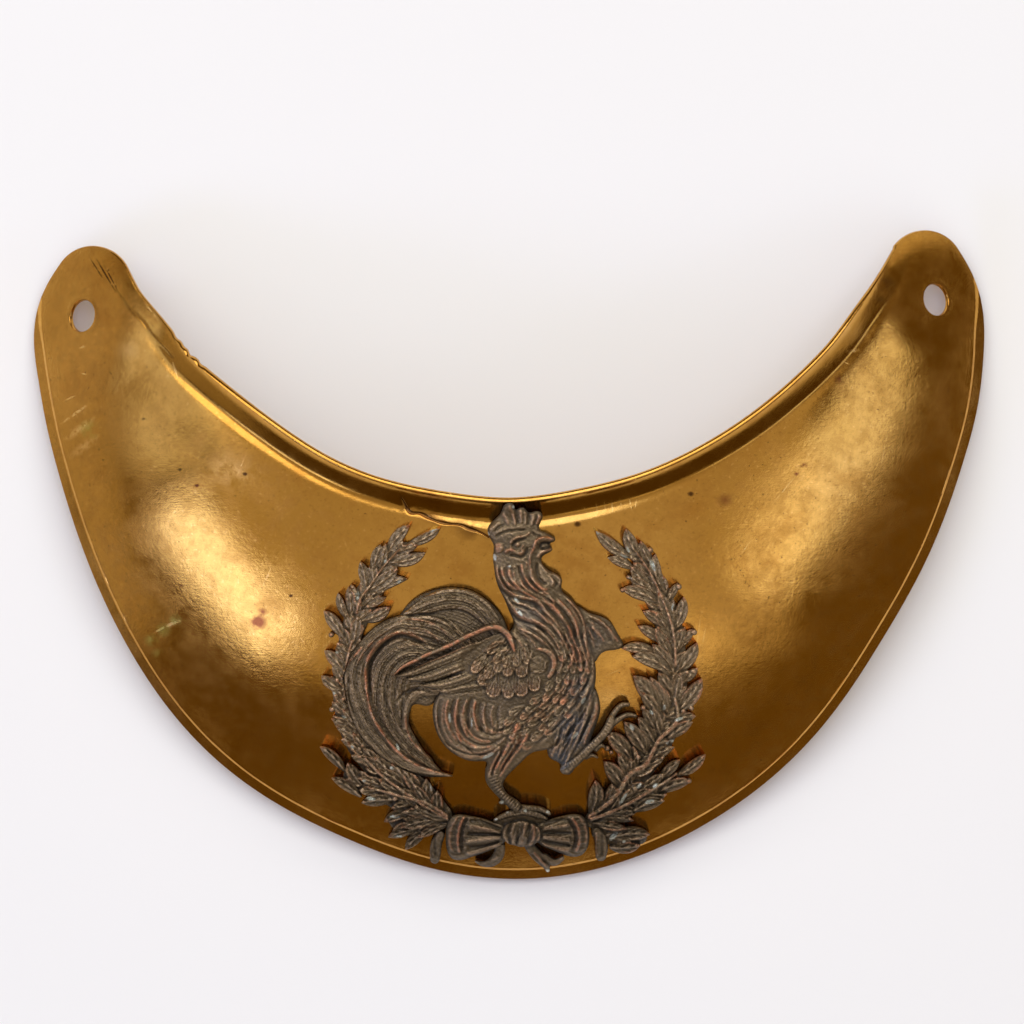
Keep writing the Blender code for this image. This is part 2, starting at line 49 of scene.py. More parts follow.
MM = 0.001

# The plate, as in the part's source
SPAN = 150.0
HEIGHT = 101.3
BAND = 60.4
WIDEST_HEIGHT = 86.0
DOME_RADIUS = 107.0
SHEET = 0.9
LIP_WIDTH = 3.6
LIP_RISE = 2.8
BORDER_WIDTH = 1.7
BORDER_STEP = 0.3
BORDER_BEND = 0.5
HOLE_SPACING = 0.896 * SPAN
HOLE_HEIGHT = 0.8904 * HEIGHT
HOLE_DIAMETER = 5.0
LAND_DIAMETER = 9.4
LAND_BLEND = 1.5
REST = np.array((0.094, -50.708, -74.248))     # the plate's own zero in the frame

# The emblem's place on it
PIXEL = 0.157                                  # one pixel of the photograph, on the plate
EMBLEM_MIDDLE = (513.0, 690.0)                 # in pixels
EMBLEM_HEIGHT = 30.1
EMBLEM_OFFSET = -0.5
EMBLEM_TURN = math.radians(-1.07)
EMBLEM_GAP = 0.3
POST_HOLE = 2.2
POSTS = ((-43.8, 3.0), (41.2, 3.0), (5.0, 24.0))   # in hundredths of the emblem's width
EMBLEM_UNIT = 0.606

# Plate mesh
STATIONS = 400                                 # points along each long edge
CAP_STEPS = 40                                 # steps round the end of a horn
HOLE_SIDES = 64
# Distances of the rings of points from the edge: on the outer side, on the neck side
EDGE_RINGS = (
    (0.16, 0.16), (0.32, 0.34), (0.5, 0.54), (0.68, 0.75), (0.86, 0.96), (1.04, 1.18), (1.2, 1.42),
    (1.34, 1.7), (1.46, 2.0), (1.56, 2.3), (1.64, 2.6), (1.71, 2.9), (1.78, 3.2), (1.86, 3.5), (1.96, 3.8),
    (2.3, 4.1), (3.0, 4.5), (3.6, 5.0), (4.2, 5.6), (4.8, 6.3),
)
RING_LIMIT = 3.0                               # further in, the rings close up where the horn is narrow
INNER_RINGS = 16
RIM_BULGE = 0.2                                # how far the rounded rim stands out past the first ring
RIM_ROWS = (0.14, 0.5, 0.86)                   # rows of the rim, as shares from front to back
SPLIT_DEPTH = 0.16
HEM_END = (84.0, 98.0)                         # heights over which the hem line runs out on the horns
HEM_WEAK = (78.0, 96.0)                        # heights over which its step gets lower
HEM_SOFT = 0.08                                # half width of its step
WRINKLE_END = (89.0, 97.0)                     # heights over which the wrinkle runs out

# height, x left, half width left, x right, half width right
CRESCENT = (
    (0.299, 0.000, 1.000, 0.000, 1.000),
    (0.327, 0.200, 0.955, 0.197, 0.957),
    (0.384, 0.388, 0.878, 0.361, 0.864),
    (0.473, 0.540, 0.759, 0.515, 0.733),
    (0.575, 0.656, 0.638, 0.650, 0.615),
    (0.688, 0.758, 0.507, 0.760, 0.498),
    (0.750, 0.805, 0.440, 0.808, 0.440),
    (0.815, 0.843, 0.381, 0.844, 0.380),
    (0.880, 0.876, 0.300, 0.870, 0.305),
    (0.939, 0.875, 0.203, 0.876, 0.203),
)
LIP_FADE_LEFT = (0.74, 0.92)
LIP_FADE_RIGHT = (0.84, 0.98)
# Slope of the worn lip at distances from the neck edge: even, then a curled rim
LIP_SLOPES = ((0.0, 1.7), (0.25, 1.3), (0.6, 0.85), (1.2, 0.62), (2.2, 0.50), (2.8, 0.40), (3.3, 0.0))

# The split in the sheet by the neck edge, in photo pixels: x, y, half width
SPLIT = ((402, 498, 0.6), (405, 504, 1.6), (411, 512.5, 2.6), (418, 513, 1.8), (426, 516, 2.8), (434, 520, 1.6),
         (440, 522, 2.4), (452, 524, 1.5), (461, 525, 1.8), (468, 528, 2.6), (477, 531, 1.6), (489, 537, 0.8))

# The crease in the left horn beside the neck edge, in photo pixels
WRINKLE = ((86, 255), (97, 266), (108, 280), (118, 291), (127, 304), (135, 314), (143, 322), (149, 331), (158, 341),
           (166, 349), (173, 357))

CHEWED = (185, 352)                            # middle of a ragged stretch of the rim, in photo pixels

# Marks on the sheet, in photo pixels: ends, half width, strength. First pale scratches, then dark ones.
SCRATCHES = (
    (59, 424, 89, 403, 2.0, 0.8), (64, 440, 93, 418, 5.0, 0.5), (70, 456, 97, 436, 6.0, 0.35),
    (78, 348, 86, 345, 1.6, 0.7), (80, 373, 86, 374, 1.3, 0.6), (62, 401, 75, 395, 1.4, 0.5),
    (151, 634, 168, 625, 1.4, 0.7), (163, 628, 180, 620, 3.0, 0.6),
    (172, 360, 178, 378, 1.4, 0.9), (142, 300, 160, 322, 1.1, 0.5), (595, 500, 597, 513, 1.0, 0.7),
    (603, 499, 605, 510, 1.0, 0.6), (611, 498, 612, 512, 1.2, 0.8), (619, 497, 621, 508, 1.0, 0.6),
    (628, 496, 632, 512, 1.2, 0.7), (636, 499, 634, 510, 0.9, 0.6), (583, 505, 586, 514, 0.9, 0.5),
    (700, 616, 696, 648, 1.0, 0.6), (706, 622, 701, 650, 0.9, 0.5), (846, 352, 858, 350, 3.0, 0.6),
    (841, 361, 853, 366, 1.3, 0.5), (480, 508, 498, 506, 1.2, 0.5), (446, 489, 452, 495, 1.6, 0.9),
    (262, 588, 272, 566, 0.9, 0.4), (236, 480, 247, 452, 0.8, 0.35), (318, 452, 342, 463, 0.8, 0.3),
    (770, 506, 800, 470, 0.8, 0.35), (736, 560, 752, 538, 0.8, 0.35), (880, 470, 888, 430, 0.9, 0.35),
    (612, 690, 636, 700, 1.1, 0.45), (604, 676, 622, 668, 0.9, 0.4), (640, 722, 628, 738, 0.9, 0.35),
)
DARK_LINES = (
    (88, 256, 104, 281, 0.9, 0.8), (94, 256, 116, 293, 1.0, 0.9), (103, 264, 118, 292, 0.9, 0.8),
)
OLIVE, RED_BROWN = (0.60, 0.45, 0.10), (0.22, 0.065, 0.018)
# Pale gold is painted glow: lighter patches where the sheet catches the light
DARK_BROWN, PAINTED_GLOW = (0.12, 0.050, 0.012), (0.84, 0.48, 0.14)
# Stains, with pale gold patches that are painted glow and dark brown on the cord holes' walls that is painted shade: x,
# y, radius, strength, colour
STAINS = (
    (258, 622, 9.0, 0.85, RED_BROWN), (262, 612, 5.0, 0.6, RED_BROWN), (577, 524, 3.4, 0.8, DARK_BROWN),
    (690, 494, 3.0, 0.8, DARK_BROWN), (803, 465, 4.0, 0.7, RED_BROWN), (796, 474, 2.4, 0.6, RED_BROWN),
    (839, 379, 7.0, 0.40, RED_BROWN), (886, 284, 9.0, 0.45, DARK_BROWN), (880, 300, 6.0, 0.40, DARK_BROWN),
    # Painted shade: the dark brown spot at 79, 317 darkens the left cord hole's wall, and the one at 936, 300 darkens
    # the right one's
    (724, 500, 9.0, 0.35, RED_BROWN), (79, 317, 13.0, 0.45, DARK_BROWN),
    (936, 300, 13.0, 0.40, DARK_BROWN), (126, 350, 14.0, 0.30, PAINTED_GLOW), (608, 700, 16.0, 0.40, PAINTED_GLOW),
    (232, 470, 26.0, 0.25, PAINTED_GLOW), (856, 330, 22.0, 0.25, PAINTED_GLOW), (434, 505, 20.0, 0.35, RED_BROWN),
    (470, 528, 16.0, 0.35, DARK_BROWN), (151, 640, 8.0, 0.6, OLIVE), (163, 630, 8.5, 0.6, OLIVE),
    (175, 620, 7.0, 0.55, OLIVE), (157, 654, 7.0, 0.4, OLIVE), (88, 430, 12.0, 0.4, OLIVE),
    (179.5, 469.5, 2.0, 0.7, DARK_BROWN), (197, 485.5, 2.2, 0.7, RED_BROWN), (245.5, 474, 2.2, 0.8, DARK_BROWN),
    (291, 595.5, 1.8, 0.9, DARK_BROWN), (181, 586, 2.4, 0.6, RED_BROWN), (144, 419, 1.9, 0.7, DARK_BROWN),
)

# Emblem relief grid, in pixels
PITCH = 0.82
FIELD_LOW = (308.0, 496.0)
FIELD_HIGH = (716.0, 884.0)
SOFT_EDGE = 1.1                                # width over which one form falls to the next
ROUNDING = 1.7                                 # pixels over which the outline's edge is rounded

# Leaves in the order they are laid, from the branch's tip to the bow: tip x, y, base x, y, half width, bend
LEFT_LEAVES = (
    (440, 528.5, 409, 544, 5.2, 0.05), (418, 545, 396, 552, 4.5, 0.0), (409.5, 525, 389, 551, 6.2, -0.06),
    (425, 553, 391, 562, 6.3, 0.07), (386, 543.5, 381, 566, 4.2, 0.0), (380.8, 544.6, 373, 568, 5.8, 0.0),
    (407.5, 579, 373, 595, 5.6, -0.12), (397.5, 569, 369, 590, 7.2, 0.03), (360.7, 561.5, 367, 589, 5.6, 0.03),
    (351, 584, 358, 601, 3.4, 0.0), (390, 607, 365, 620, 6.6, 0.05), (386, 597, 366, 607, 4.0, 0.0),
    (348.7, 586.5, 351, 615, 5.2, 0.03), (338.4, 592.9, 346.5, 617, 4.4, -0.05), (324.5, 610.7, 344, 637, 6.2, 0.03),
    (358, 616, 354, 642, 6.2, 0.0), (337, 643, 351, 655, 4.2, 0.0), (325, 650.5, 344, 671, 6.3, 0.05),
    (322, 675.5, 341, 689, 5.6, -0.05), (334, 694, 348, 706, 4.4, 0.0), (345, 690, 357, 712, 5.0, 0.0),
    (331.5, 718, 352, 724, 4.2, -0.05), (343, 709, 358, 731, 5.2, 0.04), (336, 726, 359, 744, 5.6, 0.08),
    (353, 733, 369, 753, 5.6, 0.0), (347, 742, 370, 762, 5.6, 0.06), (363, 748, 381, 767, 6.0, 0.0),
    (357, 756, 384, 774, 5.6, 0.05), (374, 757, 395, 778, 6.4, 0.02), (391, 763, 411, 789, 7.2, 0.05),
    (376, 770, 404, 786, 6.0, 0.06), (404, 769, 420, 795, 6.4, 0.0),
    (319.8, 746.6, 344, 770, 5.2, 0.05), (331.5, 778, 360, 796, 5.4, 0.05), (347.7, 762.8, 361, 784, 6.4, -0.05),
    (358, 778, 386, 789, 5.2, 0.06), (361.6, 803, 392, 800, 6.2, 0.04), (379, 780, 404, 795, 5.4, 0.0),
    (384, 822, 412, 811, 5.8, 0.05), (400, 790, 425, 803, 5.6, 0.0), (388, 837.6, 418, 829, 5.4, 0.04),
    (426, 779, 424, 808, 6.2, 0.04), (413, 784, 432, 811, 5.6, 0.0), (402, 812, 436, 814, 5.2, 0.0),
    (405, 850, 426, 831, 5.6, 0.05), (437, 791, 438, 817, 6.4, -0.03), (400, 828, 441, 820, 6.2, 0.05),
    (418, 838, 448, 824, 5.0, 0.05), (414, 806, 450, 820, 5.2, -0.04),
)
RIGHT_LEAVES = (
    (596, 531.6, 628, 556, 6.4, -0.05), (625.5, 529, 639, 557, 6.8, -0.07), (607.5, 557.7, 632, 568, 5.2, 0.05),
    (640, 541, 650, 563, 5.0, -0.05), (655, 554, 663, 590, 6.6, -0.12), (631, 566, 650, 588, 6.6, -0.04),
    (629, 577, 653, 592, 5.6, 0.0), (621.5, 589, 656, 601, 7.2, 0.07), (677, 583, 667, 601, 4.2, 0.0),
    (642.5, 611, 664, 626, 5.6, 0.05), (655, 612, 668, 630, 5.0, 0.0), (683, 597, 674, 628, 6.4, 0.06),
    (657.7, 592, 673.5, 628, 6.6, 0.02), (637.6, 626, 661, 641, 5.6, 0.05), (692, 629, 678, 647, 5.2, 0.0),
    (684, 627, 676, 652, 5.0, 0.0), (621.5, 648, 655, 652, 5.8, 0.08), (655, 628, 672, 658, 5.6, 0.0),
    (696.5, 642.8, 678, 671, 6.8, 0.05), (652, 644, 672.5, 672, 6.6, 0.04), (632, 656, 669, 671, 7.6, 0.10),
    (697, 668, 683, 682, 4.4, 0.0), (679.8, 672, 673.5, 704, 5.8, 0.0), (701, 678.7, 677, 711, 8.0, 0.05),
    (650, 677, 667, 712, 7.6, 0.0), (633.6, 676, 659, 710, 9.4, 0.06), (641, 692, 661, 716, 6.0, 0.0),
    (695, 716, 671, 726, 6.4, -0.10), (692, 722, 668, 738, 6.2, -0.05), (653, 708, 662, 737, 7.0, -0.05),
    (638, 717, 656, 746, 7.0, 0.04), (643, 708, 654, 727, 5.0, 0.0), (624, 722, 646, 753, 8.2, 0.04),
    (607, 733, 631, 758, 8.6, 0.05), (673.7, 747, 646, 763, 5.6, -0.06), (664, 757, 643, 768, 4.8, 0.0),
    (618, 753, 634, 778, 6.4, 0.0), (604, 762, 624, 789, 8.2, 0.05), (631, 758, 632, 782, 5.6, 0.0),
    (705, 754.4, 678, 775, 5.6, 0.06), (690.5, 781, 659, 792, 6.2, -0.06), (679.8, 759.8, 660, 782, 5.6, -0.04),
    (664, 774, 640, 791, 5.6, 0.0), (664, 801, 634, 811, 6.8, -0.08), (650, 789, 625, 802, 5.0, 0.0),
    (595.4, 781, 591, 815, 8.2, 0.08), (612, 784, 607, 808, 5.6, 0.04), (618.8, 788, 600, 812, 5.0, 0.0),
    (649.6, 835, 611, 838, 7.4, -0.06), (640, 846, 611, 848, 6.0, 0.05), (633.6, 821, 597, 818.5, 4.8, -0.05),
    (628, 810, 596, 818, 4.6, 0.0), (626, 829, 594, 823, 5.0, 0.0),
)
# The cast ground under each branch: x, y, half width
LEFT_GROUND = (
    ((406, 547, 5), (389, 561, 9), (374, 584, 12), (362, 606, 13), (352, 632, 11), (346, 660, 10.5), (343, 690, 10),
     (348, 716, 12), (359, 741, 14), (378, 763, 16), (400, 783, 18), (422, 801, 17), (440, 816, 12)),
    ((350, 776, 7), (374, 788, 9), (400, 800, 11), (428, 812, 12)),
    ((396, 822, 7), (414, 824, 10), (434, 824, 10)),
)
RIGHT_GROUND = (
    ((632, 548, 5), (645, 566, 9), (655, 590, 13), (665, 614, 13), (671, 640, 13), (672, 670, 14), (670, 700, 16),
     (662, 725, 17), (648, 750, 18), (634, 774, 15), (621, 795, 15), (606, 811, 13), (594, 820, 9)),
    ((668, 784, 7), (645, 796, 9), (620, 808, 11), (600, 818, 10)),
    ((640, 838, 7), (618, 838, 9), (600, 832, 9)),
)
# Berries: x, y, radius
LEFT_BERRIES = ((374, 604, 2.3), (368, 606, 2.1), (331.5, 634.5, 2.6), (337, 680, 2.4), (332, 709, 2.8),
                (359, 749, 2.4), (362, 746, 2.0), (352.5, 587, 2.4), (395, 799, 2.6), (391, 768, 2.2), (343, 699, 2.2))
RIGHT_BERRIES = ((649.6, 550, 2.9), (678, 586.5, 3.0), (628, 577, 2.4), (622, 590, 2.3), (693.5, 632, 3.0),
                 (693, 671, 3.0), (687, 672, 2.2), (691, 708, 2.6), (683, 711, 2.6), (643, 707.5, 2.8), (635, 789, 3.0),
                 (607, 748, 2.8), (611, 752, 2.2), (638, 757, 2.6), (689, 781, 2.6))
# Stems and ties drawn over the leaves: x, y, half width
LEFT_STEMS = (
    ((400, 549, 0.8), (389, 560, 1.1), (378, 574, 1.3), (369, 587, 1.4), (361, 598, 1.5), (357, 612, 1.5)),
    ((352, 641, 1.5), (348, 656, 1.6), (346, 672, 1.7), (347, 690, 1.7), (351, 706, 1.7)),
    ((366, 759, 1.7), (380, 774, 1.8), (398, 788, 1.9), (418, 802, 2.0), (446, 818, 2.2)),
    ((369, 788, 1.3), (382, 791, 1.6), (403, 797, 1.9), (425, 803, 2.1), (446, 816, 2.3)),
)
RIGHT_STEMS = (
    ((636, 552, 0.9), (648, 570, 1.2), (660, 594, 1.5), (669, 618, 1.6), (674, 640, 1.7), (675, 664, 1.8)),
    ((675, 700, 1.9), (676.4, 721, 2.3), (662, 736, 2.6), (650, 757, 2.6), (644, 766, 3.2), (632, 772, 3.0),
     (620, 790, 2.8), (607, 804, 2.6), (590, 817, 2.6)),
    ((676, 774, 1.3), (660, 785, 1.7), (640, 797, 2.0), (618, 809, 2.2), (592, 819, 2.3)),
)
# Silvery solder and plating left in the hollows: x, y, half length, half width, angle from +X, anticlockwise
SPECKS = (
    (408.5, 539.5, 3.6, 1.3, 55), (385.7, 561, 2.0, 1.3, 60), (368, 567, 3.0, 1.1, -65), (357.6, 595.5, 4.6, 1.8, 88),
    (399, 581, 2.4, 1.2, 25), (344, 716.5, 2.8, 1.1, -25), (370.4, 798.7, 5.0, 1.8, -12), (394, 817, 5.0, 1.3, 0),
    (398, 836.8, 3.8, 1.0, 0), (431, 785.5, 1.4, 5.4, 8), (397.6, 747, 1.3, 3.6, 20), (391.5, 768, 1.8, 1.6, 0),
    (434, 529, 5.0, 1.5, 32), (596.5, 532, 3.0, 1.4, -50), (627, 549, 3.6, 1.4, -60), (624, 556, 4.5, 1.2, -25),
    (652, 565, 6.4, 2.0, -65), (672, 606.6, 3.6, 1.0, 82), (678.4, 719, 4.2, 1.7, 20), (631.6, 727, 3.4, 2.0, -60),
    (669.7, 741.7, 4.2, 1.4, 25), (639, 786, 3.0, 1.8, 45), (623, 799, 7.0, 1.5, 58), (655, 786, 3.0, 1.8, 50),
    (649.6, 802, 4.4, 2.0, 10), (613.5, 836.8, 5.4, 2.2, 50), (624, 842, 1.6, 1.4, 0), (649, 815, 2.2, 1.0, 20),
    (608, 558, 1.8, 1.5, 0), (629.5, 578, 1.6, 1.5, 0), (427.5, 857, 2.2, 1.5, 80), (521, 797, 1.4, 1.4, 0),
    (501.6, 802, 2.0, 1.8, 0), (507, 812, 1.6, 1.2, 30), (496, 819.5, 1.6, 1.2, 20), (525, 810.5, 1.8, 1.4, 0),
    (547.6, 812, 1.8, 1.4, 0), (547.6, 871.5, 2.0, 1.4, 0), (488, 534, 2.2, 1.6, 60), (513, 507, 1.6, 1.4, 0),
    (509.6, 566, 1.7, 1.6, 0), (494.5, 557, 1.5, 3.4, 10), (519, 612, 5.2, 1.7, -50), (516.5, 600, 3.6, 1.3, -45),
    (471.5, 722, 0.9, 4.8, 5), (449.5, 717, 1.2, 5.0, 6), (488, 755.5, 6.4, 1.6, 27), (553, 762, 1.8, 1.6, 0),
    (583, 700, 1.6, 4.0, -30), (575, 735, 1.4, 4.2, -35), (334, 693, 1.5, 1.5, 0), (352, 747, 1.6, 1.4, 0),
    (364, 781, 1.6, 1.3, 0), (337, 652, 1.6, 1.2, 0), (664, 707, 1.6, 2.6, 0), (651, 712, 2.6, 1.6, -50),
)


def smooth(rows, count):
    """Points on the natural cubic curve through the rows, evenly spread by chord length."""
    rows = np.asarray(rows, float)
    knots = np.concatenate(([0.0], np.cumsum(np.linalg.norm(np.diff(rows[:, :2], axis=0), axis=1))))
    width = np.diff(knots)
    slope = np.diff(rows, axis=0) / width[:, None]
    size = len(rows)
    matrix = np.eye(size)
    right = np.zeros_like(rows)
    for i in range(1, size - 1):
        matrix[i, i - 1:i + 2] = width[i - 1], 2 * (width[i - 1] + width[i]), width[i]
        right[i] = 6 * (slope[i] - slope[i - 1])
    bend = np.linalg.solve(matrix, right)
    at = np.linspace(0.0, knots[-1], count)
    cell = np.clip(np.searchsorted(knots, at, side="right") - 1, 0, size - 2)
    step = (at - knots[cell])[:, None]
    span = width[cell][:, None]
    start = slope[cell] - span * (2 * bend[cell] + bend[cell + 1]) / 6
    return rows[cell] + step * (start + step * (bend[cell] / 2 + step * (bend[cell + 1] - bend[cell]) / (6 * span)))


def ease(value, low, high):
    """Smooth step from 0 at low to 1 at high."""
    share = np.clip((value - low) / (high - low), 0.0, 1.0)
    return share * share * (3 - 2 * share)


def bump(value, middle, width):
    """Rounded ridge of height 1."""
    return np.exp(-((value - middle) / width) ** 2)


def polyline_distance(line, x, y):
    """Distance from each point to a polyline."""
    best = np.full(x.shape, np.inf)
    for (px, py), (dx, dy) in zip(line[:-1], np.diff(line, axis=0)):
        share = np.clip(((x - px) * dx + (y - py) * dy) / (dx * dx + dy * dy), 0.0, 1.0)
        best = np.minimum(best, np.hypot(x - px - share * dx, y - py - share * dy))
    return best


class Crescent:
    """The plate's outline and front surface, with heights measured up from the bottom edge."""

    def __init__(self):
        left = [(-x * SPAN / 2, height * HEIGHT, half * BAND / 2) for height, x, half, _, _ in CRESCENT]
        right = [(x * SPAN / 2, height * HEIGHT, half * BAND / 2) for height, _, _, x, half in CRESCENT]
        self.spine = smooth(left[:0:-1] + right, 1800)
        self.outer, self.neck = self.edges(self.spine)
        self.top = ((SPAN / 2) ** 2 + WIDEST_HEIGHT ** 2) / (2 * WIDEST_HEIGHT)

    def edges(self, spine):
        """Both envelopes of the circles along the spine."""
        run = np.gradient(spine, axis=0)
        length = np.linalg.norm(run[:, :2], axis=1)[:, None]
        along = run[:, :2] / length
        growth = run[:, 2:] / length
        across = np.stack((-along[:, 1], along[:, 0]), axis=1)
        side = np.sqrt(1 - growth ** 2)
        half = spine[:, 2:]
        outer = spine[:, :2] + half * (-growth * along - side * across)
        lean = math.atan(2 * LIP_RISE / LIP_WIDTH)
        short = SHEET * math.sin(lean) * self.lip_share(spine[:, 0], spine[:, 1])[:, None]
        neck = spine[:, :2] + (half - short) * (-growth * along + side * across)
        return outer, neck

    def lip_share(self, x, y):
        low = np.where(x < 0, LIP_FADE_LEFT[0], LIP_FADE_RIGHT[0])
        high = np.where(x < 0, LIP_FADE_LEFT[1], LIP_FADE_RIGHT[1])
        return 1 - ease(y / HEIGHT, low, high)

    def dome(self, x, y):
        return np.sqrt(DOME_RADIUS ** 2 - x ** 2 - (y - self.top) ** 2)

    def upright(self, x, y):
        return self.dome(x, y) / DOME_RADIUS

    def front(self, x, y, blend=LAND_BLEND, step=BORDER_STEP):
        """Height of the sheet's front surface."""
        height = self.dome(x, y)
        for side in (-1, 1):
            hole_x = side * HOLE_SPACING / 2
            level = self.dome(hole_x, HOLE_HEIGHT)
            flat = level - (hole_x * (x - hole_x) + (HOLE_HEIGHT - self.top) * (y - HOLE_HEIGHT)) / level
            away = np.hypot(x - hole_x, y - HOLE_HEIGHT)
            height = flat + (height - flat) * ease(away, LAND_DIAMETER / 2 - blend / 4, LAND_DIAMETER / 2 + blend)
        lip = np.clip(1 - polyline_distance(self.neck[::9], x, y) / LIP_WIDTH, 0.0, 1.0)
        height = height + LIP_RISE * lip ** 2 * self.lip_share(x, y)
        strip = polyline_distance(self.outer[::9], x, y)
        return height - step * (1 - ease(strip, BORDER_WIDTH - BORDER_BEND / 2, BORDER_WIDTH + BORDER_BEND / 2))


CRESCENT_FORM = Crescent()


def pixel_to_plate(x, y):
    """Plate coordinates of a pixel of the photograph."""
    unturned_x = (x - EMBLEM_MIDDLE[0]) * PIXEL
    unturned_y = (EMBLEM_MIDDLE[1] - y) * PIXEL
    cosine, sine = math.cos(EMBLEM_TURN), math.sin(EMBLEM_TURN)
    return (EMBLEM_OFFSET + cosine * unturned_x - sine * unturned_y,
            EMBLEM_HEIGHT + sine * unturned_x + cosine * unturned_y)


class Field:
    """Relief on a regular grid: photo pixels across, millimetres up. Tones hold shares for the material."""

    TONES = ("copper", "silver", "blue", "upper_light")

    def __init__(self):
        xs = np.arange(FIELD_LOW[0], FIELD_HIGH[0], PITCH)
        ys = np.arange(FIELD_LOW[1], FIELD_HIGH[1], PITCH)
        self.x, self.y = np.meshgrid(xs, ys)
        self.height = np.zeros(self.x.shape)
        self.reach = np.full(self.x.shape, -20.0)
        self.tone = {name: np.zeros(self.x.shape) for name in self.TONES}

    def window(self, low, high):
        """Grid slices that cover a box of pixels."""
        spans = []
        for axis in (1, 0):
            start = max(int((low[axis] - FIELD_LOW[axis]) / PITCH), 0)
            stop = min(int((high[axis] - FIELD_LOW[axis]) / PITCH) + 2, self.x.shape[1 - axis])
            spans.append(slice(start, max(stop, start)))
        return tuple(spans)

    def trace(self, rows, margin=3.0):
        """Where each grid point near a stroke lies along it and across it."""
        rows = np.asarray(rows, float)
        length = np.linalg.norm(np.diff(rows[:, :2], axis=0), axis=1).sum()
        path = smooth(rows, max(8, int(length / 1.2)))
        half = np.maximum(path[:, 2], 0.05)
        low = (path[:, :2] - half[:, None]).min(axis=0) - margin
        high = (path[:, :2] + half[:, None]).max(axis=0) + margin
        cell = self.window(low, high)
        x, y = self.x[cell], self.y[cell]
        shape = x.shape
        x, y = x.ravel(), y.ravel()
        near = ((x[:, None] - path[:, 0]) ** 2 + (y[:, None] - path[:, 1]) ** 2).argmin(axis=1)
        run = np.gradient(path[:, :2], axis=0)
        run /= np.linalg.norm(run, axis=1)[:, None]
        arc = np.concatenate(([0.0], np.cumsum(np.linalg.norm(np.diff(path[:, :2], axis=0), axis=1))))
        dx, dy = x - path[near, 0], y - path[near, 1]
        ahead = dx * run[near, 0] + dy * run[near, 1]
        off = dx * run[near, 1] - dy * run[near, 0]
        at = arc[near] + ahead
        wide = np.interp(at, arc, half)
        past = np.maximum(np.maximum(-at, at - arc[-1]), 0.0)
        inside = wide - np.where(past > 0, np.hypot(past, off), np.abs(off))
        return SimpleNamespace(cell=cell, inside=inside.reshape(shape), off=off.reshape(shape),
                               half=wide.reshape(shape), run=np.clip(at, 0, arc[-1]).reshape(shape), length=arc[-1],
                               share=np.clip(at / arc[-1], 0, 1).reshape(shape))

    def paint(self, at, height, soft=SOFT_EDGE, outline=True):
        """Lay a form over what is there."""
        under = self.height[at.cell]
        share = np.clip(at.inside / soft + 0.5, 0.0, 1.0)
        over = under + (height - under) * share
        if outline:
            bare = self.reach[at.cell] <= 0
            nearest = at.inside > self.reach[at.cell]
            over = np.where(bare, np.where(nearest, height, under), over)
            self.reach[at.cell] = np.maximum(self.reach[at.cell], at.inside)
        self.height[at.cell] = over

    def line(self, rise, rows, copper=0.0):
        """Add a ridge, or a groove where rise is negative, that fades at its ends."""
        at = self.trace(rows, margin=4.0)
        ends = ease(at.share, 0.0, 0.12) * (1 - ease(at.share, 0.88, 1.0))
        form = np.exp(-(at.off / at.half) ** 2) * ends * (at.inside > -2 * at.half)
        self.height[at.cell] += rise * form
        if copper:
            self.tone["copper"][at.cell] = np.maximum(self.tone["copper"][at.cell], copper * form)


def soft_noise(x, y, size, seed):
    """Smooth noise between about -1 and 1 with features of the given size."""
    rng = np.random.default_rng(seed)
    total = np.zeros(np.shape(x))
    for _ in range(9):
        angle, phase = rng.uniform(0, 2 * math.pi, 2)
        wave = 2 * math.pi / (size * rng.uniform(0.7, 1.9))
        total += np.sin(wave * (np.cos(angle) * x + np.sin(angle) * y) + phase)
    return total / 4.2


def blurred(values, steps):
    """Mean over a growing neighbourhood, as repeated small box means."""
    for _ in range(steps):
        values = (np.roll(values, 1, 0) + values + np.roll(values, -1, 0)) / 3
        values = (np.roll(values, 1, 1) + values + np.roll(values, -1, 1)) / 3
    return values


# Leaves and berries

LEAF_WIDTHS = ((0.0, 0.34), (0.22, 0.80), (0.5, 1.0), (0.74, 0.84), (0.9, 0.46), (1.0, 0.10))
LEAF_LOW = 0.62
LEAF_HIGH = 1.22


def leaf(field, tip, base, half, bend, seed):
    """A laurel leaf: raised rim and midrib, fine veins, tip higher than base."""
    tip, base = np.array(tip, float), np.array(base, float)
    axis = tip - base
    side = np.array((-axis[1], axis[0]))
    rows = [(*(base + axis * s + side * bend * 4 * s * (1 - s)), half * w) for s, w in LEAF_WIDTHS]
    at = field.trace(rows)
    rng = np.random.default_rng(seed)
    across = np.abs(at.off) / at.half
    tilt = rng.uniform(-0.22, 0.22)
    height = LEAF_LOW + (LEAF_HIGH - LEAF_LOW) * at.share ** 0.8 + tilt * at.off / at.half
    height += 0.30 * (1 - across ** 2).clip(0)
    fade = 1 - 0.6 * at.share
    height += 0.24 * bump(across, 0.84, 0.15) * ease(at.share, 0.05, 0.3)
    height += 0.30 * np.exp(-(at.off / (0.75 + 0.5 * fade)) ** 2) * fade
    height -= 0.14 * bump(across, 0.30, 0.12)
    veins = np.sin(2 * math.pi * (np.abs(at.off) * 0.95 - at.run * 0.30) / 2.9 + rng.uniform(0, 6))
    height += 0.075 * veins * (1 - bump(across, 0.9, 0.2))
    field.paint(at, height)
    rim = bump(across, 0.88, 0.22) * ease(at.inside, -0.5, 0.6) * ease(at.share, 0.25, 0.6)
    tips = ease(at.share, 0.82, 0.98) * ease(at.inside, -0.6, 0.4)
    worn = rng.uniform(0.1, 1.0) * np.maximum(rim * rng.choice((0.25, 0.7, 1.0)), tips)
    copper = field.tone["copper"]
    share = np.clip(at.inside / SOFT_EDGE + 0.5, 0, 1)
    copper[at.cell] = copper[at.cell] * (1 - share) + worn * share


